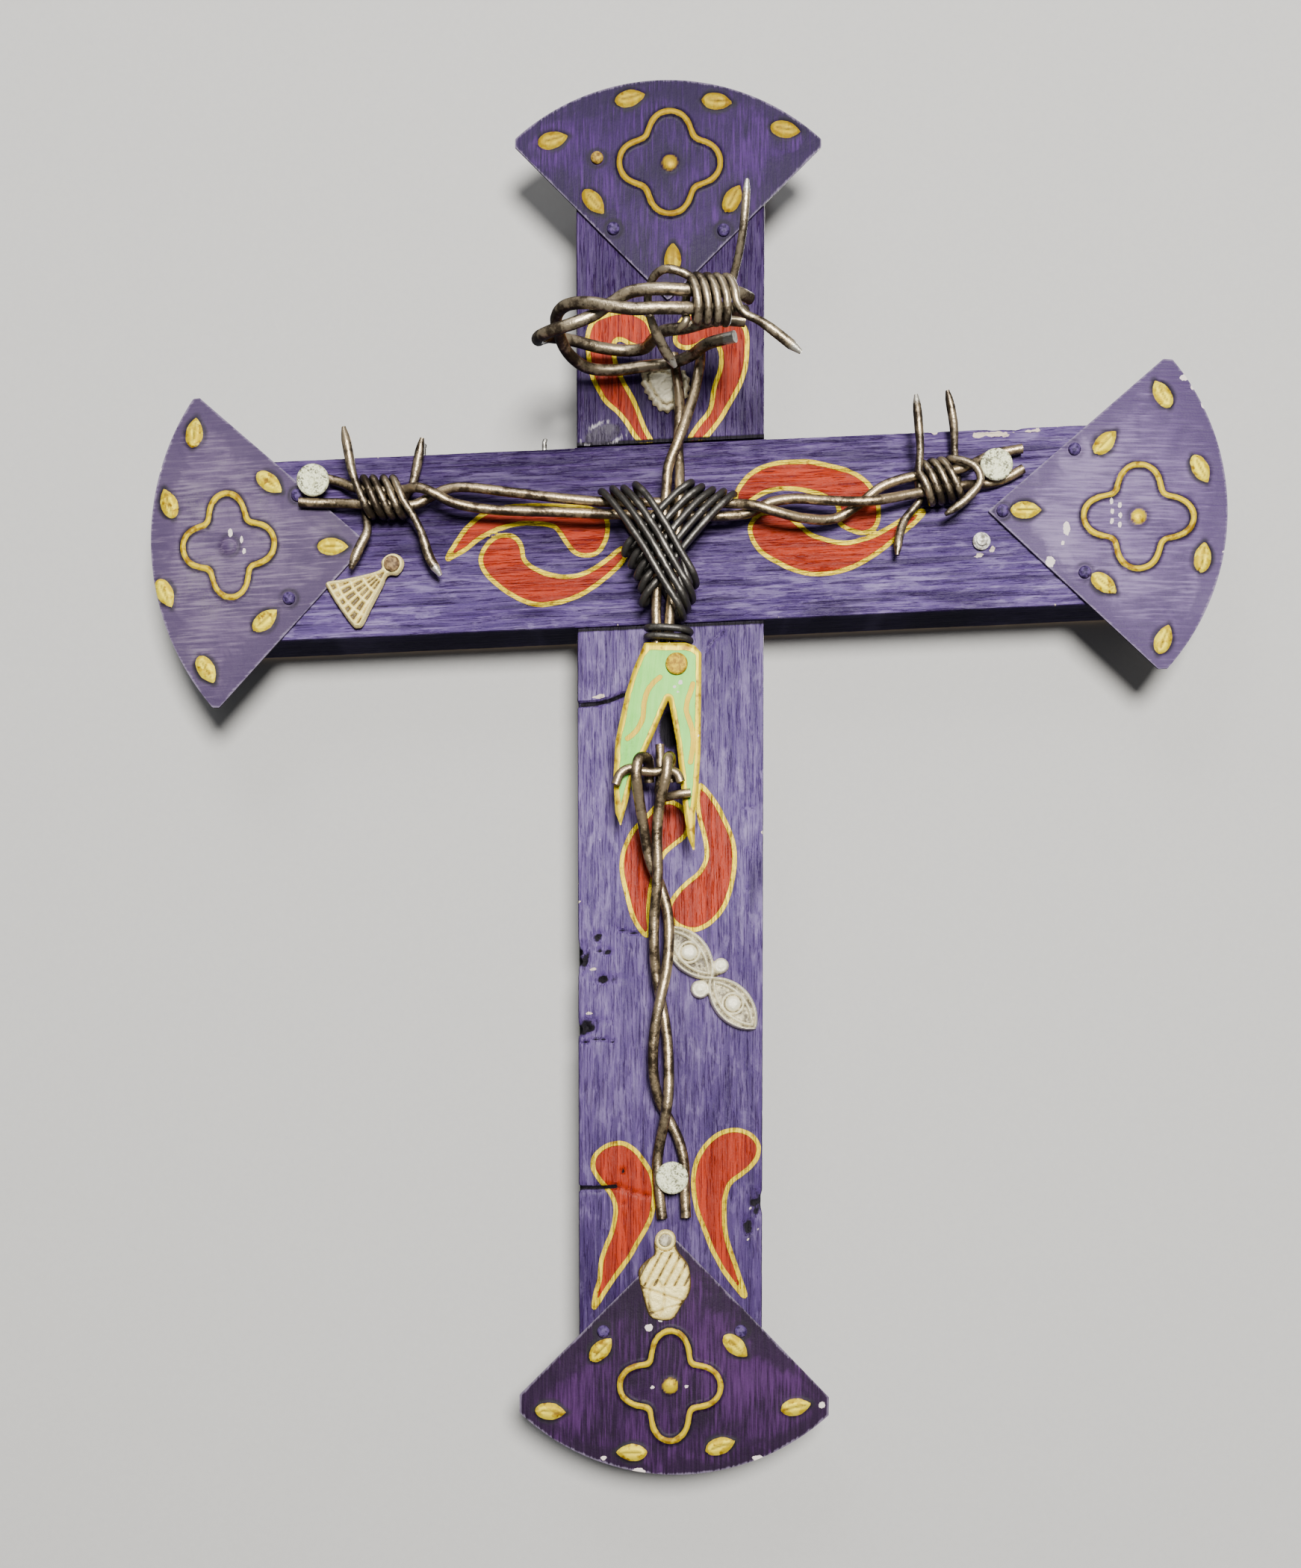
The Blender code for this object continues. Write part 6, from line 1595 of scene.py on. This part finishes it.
def make_bend_tree():
    """Nodes that run a round wire along a line, pit it and close its cut ends."""
    tree = bpy.data.node_groups.new("bend_wire", "GeometryNodeTree")
    tree.interface.new_socket("Line", in_out="INPUT", socket_type="NodeSocketGeometry")
    for label in ("Radius", "Pitting"):
        tree.interface.new_socket(label, in_out="INPUT", socket_type="NodeSocketFloat")
    tree.interface.new_socket("Sides", in_out="INPUT", socket_type="NodeSocketInt")
    tree.interface.new_socket("Finish", in_out="INPUT", socket_type="NodeSocketMaterial")
    tree.interface.new_socket("Wire", in_out="OUTPUT", socket_type="NodeSocketGeometry")
    entry = tree.nodes.new("NodeGroupInput")
    curve = tree.nodes.new("GeometryNodeMeshToCurve")
    thick = tree.nodes.new("GeometryNodeInputNamedAttribute")
    thick.data_type = "FLOAT"
    thick.inputs["Name"].default_value = "thick"
    size = tree.nodes.new("GeometryNodeSetCurveRadius")
    ring = tree.nodes.new("GeometryNodeCurvePrimitiveCircle")
    tube = tree.nodes.new("GeometryNodeCurveToMesh")
    tube.inputs["Fill Caps"].default_value = True
    if "Scale" in tube.inputs:
        tree.links.new(thick.outputs["Attribute"], tube.inputs["Scale"])
    pits = tree.nodes.new("ShaderNodeTexNoise")
    pits.inputs["Scale"].default_value = 1300.0
    pits.inputs["Detail"].default_value = 2.0
    centred = tree.nodes.new("ShaderNodeMath")
    centred.operation = "SUBTRACT"
    centred.inputs[1].default_value = 1.0
    depth = tree.nodes.new("ShaderNodeMath")
    depth.operation = "MULTIPLY"
    normal = tree.nodes.new("GeometryNodeInputNormal")
    push = tree.nodes.new("ShaderNodeVectorMath")
    push.operation = "SCALE"
    moved = tree.nodes.new("GeometryNodeSetPosition")
    smooth = tree.nodes.new("GeometryNodeSetShadeSmooth")
    plain = tree.nodes.new("GeometryNodeRealizeInstances")
    paint = tree.nodes.new("GeometryNodeSetMaterial")
    leave = tree.nodes.new("NodeGroupOutput")
    for a, b in ((entry.outputs["Line"], curve.inputs["Mesh"]), (curve.outputs[0], size.inputs["Curve"]),
                 (thick.outputs["Attribute"], size.inputs["Radius"]),
                 (entry.outputs["Radius"], ring.inputs["Radius"]),
                 (entry.outputs["Sides"], ring.inputs["Resolution"]), (size.outputs[0], tube.inputs["Curve"]),
                 (ring.outputs["Curve"], tube.inputs["Profile Curve"]),
                 (pits.outputs[0], centred.inputs[0]), (centred.outputs[0], depth.inputs[0]),
                 (entry.outputs["Pitting"], depth.inputs[1]), (normal.outputs[0], push.inputs[0]),
                 (depth.outputs[0], push.inputs["Scale"]), (tube.outputs[0], moved.inputs["Geometry"]),
                 (push.outputs[0], moved.inputs["Offset"]), (moved.outputs[0], smooth.inputs["Geometry"]),
                 (smooth.outputs[0], plain.inputs[0]), (plain.outputs[0], paint.inputs["Geometry"]),
                 (entry.outputs["Finish"], paint.inputs["Material"]), (paint.outputs[0], leave.inputs[0])):
        tree.links.new(a, b)
    return tree


bend_tree = make_bend_tree()
TAIL_L = 0.0120
TAIL_SWELL = 0.28
# swelling of the tails that pass close to another wire
CLOSE_TAILS = {"right_hand_barb_1": 0.16, "right_hand_barb_2": 0.16, "crown_barb_2": 0.0}
BRIGHT_L = 0.0040
BLACK_SCALE = (0.008, 0.007, 0.006)
BARE_CUT_AND_GLINT = (0.74, 0.70, 0.60)


def make_wire(name, path, radius, finish, node, sides=12, cut=0.0, pitting=0.00006, bright=(0.0, 0.0)):
    """One wire along its line; cut is the length of the snipped slope at each end.

    A snipped wire is squeezed a little thicker behind its cuts, and bright tells how bare each end is; the
    pale bare metal there is partly a painted glint.
    """
    lengths = np.concatenate([[0.0], np.cumsum([(b - a).length for a, b in zip(path, path[1:])])])
    thick = np.ones(len(path))
    if cut:
        ends = np.minimum(lengths, lengths[-1] - lengths)
        tail = unit((TAIL_L - ends) / (TAIL_L / 3))
        swell = CLOSE_TAILS.get(node, TAIL_SWELL)
        thick = unit(0.45 + 0.55 * ends / cut) * (1.0 + swell * tail)
    from_start = bright[0] * unit(1 - lengths / BRIGHT_L)
    from_end = bright[1] * unit(1 - (lengths[-1] - lengths) / BRIGHT_L)
    bare_end_and_glint = np.maximum(from_start, from_end)
    line = bpy.data.meshes.new(name + "_line")
    line.from_pydata([tuple(p) for p in path], [(i, i + 1) for i in range(len(path) - 1)], [])
    mark_mesh(line, "thick", thick)
    mark_mesh(line, "bare_end_and_glint", bare_end_and_glint)
    holder = bpy.data.objects.new(name + "_line", line)
    bpy.context.scene.collection.objects.link(holder)
    bend = holder.modifiers.new("bent wire", "NODES")
    bend.node_group = bend_tree
    wanted = {"Radius": radius, "Pitting": pitting, "Sides": sides, "Finish": finish}
    for socket in bend_tree.interface.items_tree:
        if socket.in_out == "INPUT" and socket.name in wanted:
            bend[socket.identifier] = wanted[socket.name]
    ready = holder.evaluated_get(bpy.context.evaluated_depsgraph_get())
    mesh = bpy.data.meshes.new_from_object(ready)
    holder.modifiers.remove(bend)
    bpy.data.objects.remove(holder, do_unlink=True)
    mesh.name = name
    # front is a painted highlight: the side of a wire that faces the front is made paler
    normals = np.empty(len(mesh.vertices) * 3, np.float32)
    mesh.vertex_normals.foreach_get("vector", normals)
    mark_mesh(mesh, "front", -normals.reshape(-1, 3)[:, 1])
    piece = show_piece(name, mesh, 50)
    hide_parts(node)
    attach(piece, "root")


def wire_metal(name, deep, middle, rubbed, share, rough, rust=1.0):
    """Old wire: dark scale, rubbed to a brassy grey where it stands out, with a painted highlight on its
    front side; rust roughens and pits it.
    """
    wire = Finish(name)
    cloud = wire.noise(170.0, 4.0, 0.6)
    patchy = wire.noise(620.0, 5.0, 0.62)
    grit = wire.noise(2300.0, 3.0, 0.6)
    wear_and_highlight = patchy * 0.35 + cloud * 0.65 + wire.marks("front") * 0.20
    coat = wire.mix(wire.step(wear_and_highlight, 0.38, 0.60), deep, middle)
    coat = wire.mix(wire.step(wear_and_highlight + grit * 0.10, 0.66 - share, 0.80 - share), coat, rubbed)
    coat = wire.mix(wire.step(grit + patchy * 0.4, 0.50, 0.42) * rust, coat, BLACK_SCALE)
    # pale bare metal at the cut ends, partly a painted glint
    coat = wire.mix(wire.step(wire.marks("bare_end_and_glint") + (grit - 0.5) * 0.5, 0.25, 0.50), coat, BARE_CUT_AND_GLINT)
    rough_all = rough + grit * (0.16 * rust) - wire.step(wear_and_highlight, 0.5, 0.8) * 0.08
    return wire.done(Base_Color=coat, Metallic=0.80, Roughness=rough_all,
                     Normal=wire.bump(grit * (0.35 * rust) + patchy, 0.00016))


line_metal = wire_metal("rusty_line_wire", (0.022, 0.015, 0.009), (0.088, 0.062, 0.038), (0.46, 0.35, 0.21),
                        0.04, 0.30)
barb_metal = wire_metal("rusty_barb_wire", (0.020, 0.015, 0.010), (0.075, 0.056, 0.038), (0.44, 0.35, 0.23),
                        0.02, 0.30)
crown_metal = wire_metal("crown_wire", (0.022, 0.016, 0.010), (0.110, 0.082, 0.054), (0.54, 0.44, 0.29),
                         0.05, 0.30)
binding_metal = wire_metal("black_binding_wire", (0.045, 0.042, 0.039), (0.085, 0.079, 0.072),
                           (0.22, 0.205, 0.180), -0.06, 0.46, 0.25)
# how bare the first and last end of a wire is; the pale metal there is partly a painted glint
BRIGHT_ENDS = {"left_hand_barb_1": (0.0, 1.0), "crown_barb_1": (0.8, 1.0), "crown_barb_2": (0.0, 0.9),
               "crown_wire_1": (1.0, 0.0), "right_hand_barb_1": (0.7, 0.0)}

for name, route, radius, finish in (
        ("arm_wire_1", ARM_ROUTE_1, ARM_R, line_metal), ("arm_wire_2", ARM_ROUTE_2, ARM_R, line_metal),
        ("neck_wire_1", NECK_ROUTE_1, NECK_R, line_metal), ("neck_wire_2", NECK_ROUTE_2, NECK_R, line_metal),
        ("leg_wire_1", LEG_ROUTE_1, LEG_R, line_metal), ("leg_wire_2", LEG_ROUTE_2, LEG_R, line_metal),
        ("hip_wire_1", HIP_ROUTE_1, HIP_R, line_metal), ("hip_wire_2", HIP_ROUTE_2, HIP_R, line_metal),
        ("crown_wire_1", CROWN_ROUTE_1, CROWN_R, crown_metal),
        ("crown_wire_2", CROWN_ROUTE_2, CROWN_R, crown_metal)):
    make_wire("bent_" + name, smooth_path(route_mm(route), 8), radius, finish, name, 16,
              bright=BRIGHT_ENDS.get(name, (0.0, 0.0)))
for name, route in barb_routes():
    metal = crown_metal if name.startswith("crown") else barb_metal
    make_wire("wrapped_" + name, smooth_path(route, 4), BARB_R, metal, name, 14, 2.6 * MM,
              bright=BRIGHT_ENDS.get(name, (0.0, 0.0)))
back_low = (1.4 * GAP + BIND_R) / MM
back_high = back_low + (2 * BIND_R + GAP) / MM
for name, route in (
        ("chest_binding_left", chest_route(LEFT_SHOULDERS, LEFT_WAIST, back_low, 12.9, 1)),
        ("chest_binding_right", chest_route(RIGHT_SHOULDERS, RIGHT_WAIST, back_high, 10.8, -1))):
    make_wire("wound_" + name, smooth_path(route_mm(route), 6), BIND_R, binding_metal, name, 12, 0.0, 0.00003)
make_wire("wound_waist_ring", smooth_path(waist_path(), 3), BIND_R, binding_metal, "waist_ring", 12, 0.0,
          0.00003)

# Loincloth
# A strip of sheet tin snipped to a forked point, painted pale green with gold edges and two gold strokes.
# It stands in front of the waist wires and carries one gilt rivet near its top edge.

CLOTH_T = 0.0012
CLOTH_LIFT = 0.0082
CLOTH_CELL = 0.00032
RIVET_AT = (1.3, -33.3)
RIVET_R = 2.6 * MM
RIVET_H = 0.6 * MM
CLOTH_OUTLINE = (
    (-6.2, -28.2), (3.4, -28.2), (5.6, -28.9), (7.1, -30.6), (7.0, -44.0), (6.9, -54.0), (6.4, -62.0),
    (5.7, -68.0), (5.5, -77.6), (3.9, -73.6), (2.9, -67.0), (2.2, -60.0), (1.3, -51.6), (-0.6, -41.5),
    (-4.1, -49.8), (-6.9, -55.9), (-9.2, -61.0), (-10.2, -65.7), (-11.8, -71.1), (-13.0, -68.0),
    (-13.5, -60.1), (-13.0, -51.2), (-10.6, -40.0), (-8.8, -34.3))
CLOTH_STROKES = (
    ((-2.6, -36.4), (-4.0, -37.6), (-5.6, -39.8), (-6.3, -42.6), (-6.5, -45.6), (-7.4, -47.8),
     (-8.8, -49.6), (-10.2, -50.7)),
    ((5.1, -37.9), (4.7, -39.4), (3.9, -41.6), (3.6, -44.4), (4.4, -46.8), (5.1, -49.4), (5.2, -52.4),
     (4.5, -56.2)))
MINT = (0.18, 0.66, 0.07)
MINT_PALE = (0.28, 0.80, 0.13)
MINT_DULL = (0.13, 0.36, 0.07)
EDGE_BAND = 1.3
TOP_BAND = 0.6
STROKE_W = 1.15
CLOTH_CHIPS = ((2.2, -37.6, 1.0), (0.8, -38.6, 0.7), (1.6, -39.8, 0.6), (6.4, -50.0, 0.5))


def make_mint():
    mint = Finish("mint_sheet")
    cloud = mint.noise(130.0, 4.0, 0.6)
    grit = mint.noise(1900.0, 3.0, 0.6)
    hairs = mint.noise(1.0, 4.0, 0.6, mint.drawn_out(0.9 * MM, 8.0 * MM, 84.0))
    coat = mint.mix(mint.step(cloud * 0.6 + hairs * 0.4, 0.36, 0.64), MINT, MINT_PALE)
    coat = mint.mix(mint.step(grit * 0.5 + cloud * 0.6, 0.48, 0.36) * 0.6, coat, MINT_DULL)
    edge = mint.marks("edge") + (mint.noise(260.0, 2.0) - 0.5) * 0.5
    stroke = mint.marks("stroke") + (mint.noise(800.0, 3.0) - 0.5) * 0.4
    gold = mint.mix(mint.step(mint.noise(420.0, 3.0), 0.32, 0.48), GOLD_BROWN, GOLD)
    gold = mint.mix(mint.step(hairs, 0.50, 0.66), gold, GOLD_PALE)
    band = mint.step(edge, EDGE_BAND + 0.08, EDGE_BAND - 0.08)
    brushed = mint.step(stroke, 0.42, 0.50)
    gilt = band | brushed
    coat = mint.mix(band, coat, gold)
    coat = mint.mix(brushed, coat, mint.mix(hairs, GOLD_BROWN, GOLD))
    chip = mint.step(mint.marks("chip") + (mint.noise(1500.0, 3.0) - 0.5) * 0.8, 0.45, 0.52)
    coat = mint.mix(chip, coat, PRIMER)
    return mint.done(Base_Color=coat, Roughness=0.36 + cloud * 0.2, Metallic=gilt * 0.25,
                     Normal=mint.bump(hairs * 0.5 + grit * 0.15 + gilt * 0.5, 0.00016),
                     Specular_IOR_Level=0.2)


def cloth_front(face, inside):
    eased = np.sqrt(unit(inside / 0.0007))
    bow = 0.30 * MM * unit(1 - ((face[:, 0] + 3.0 * MM) / (9.0 * MM)) ** 2)
    return CLOTH_LIFT + CLOTH_T * 0.45 + (CLOTH_T * 0.55 - 0.3 * MM) * eased + bow * eased


def cloth_back(face, inside):
    return np.full(len(face), CLOTH_LIFT)


def cloth_marks(face, inside):
    stroke = np.zeros(len(face))
    for line in CLOTH_STROKES:
        curve = np.array([(p.x, p.z) for p in smooth_path([Vector((x, 0.0, z)) for x, z in line], 4)])
        stroke = np.maximum(stroke, fade(to_outline(face, curve * MM, closed=False)[0], STROKE_W * MM))
    chip = np.zeros(len(face))
    for x, z, r in CLOTH_CHIPS:
        chip = np.maximum(chip, patch(face, x, z, r, r))
    top = unit((face[:, 1] / MM + 31.5) / 1.5) * TOP_BAND
    return {"edge": inside / MM - top, "stroke": stroke, "chip": chip}


add_plate("loincloth_sheet", np.array(CLOTH_OUTLINE) * MM, CLOTH_CELL, make_mint(), ["loincloth"],
          cloth_front, cloth_back, cloth_marks)
rivet_floor = CLOTH_LIFT + CLOTH_T + GAP
rivet_steps = [(RIVET_R * r, rivet_floor + RIVET_H * h) for r, h in (
    (1.0, 0.0), (1.0, 0.35), (0.95, 0.62), (0.8, 0.86), (0.6, 0.94), (0.4, 0.97), (0.2, 1.0), (0.05, 1.0))]
rivet_paint = tack_paint("gilt_rivet_paint", (0.26, 0.14, 0.004), (0.60, 0.40, 0.010), 0.3)
make_driven("gilt_rivet", lathe(rivet_steps, 28, 0.00004, 2.0), [on_face(*RIVET_AT)], rivet_paint,
            ["loincloth_rivet"])
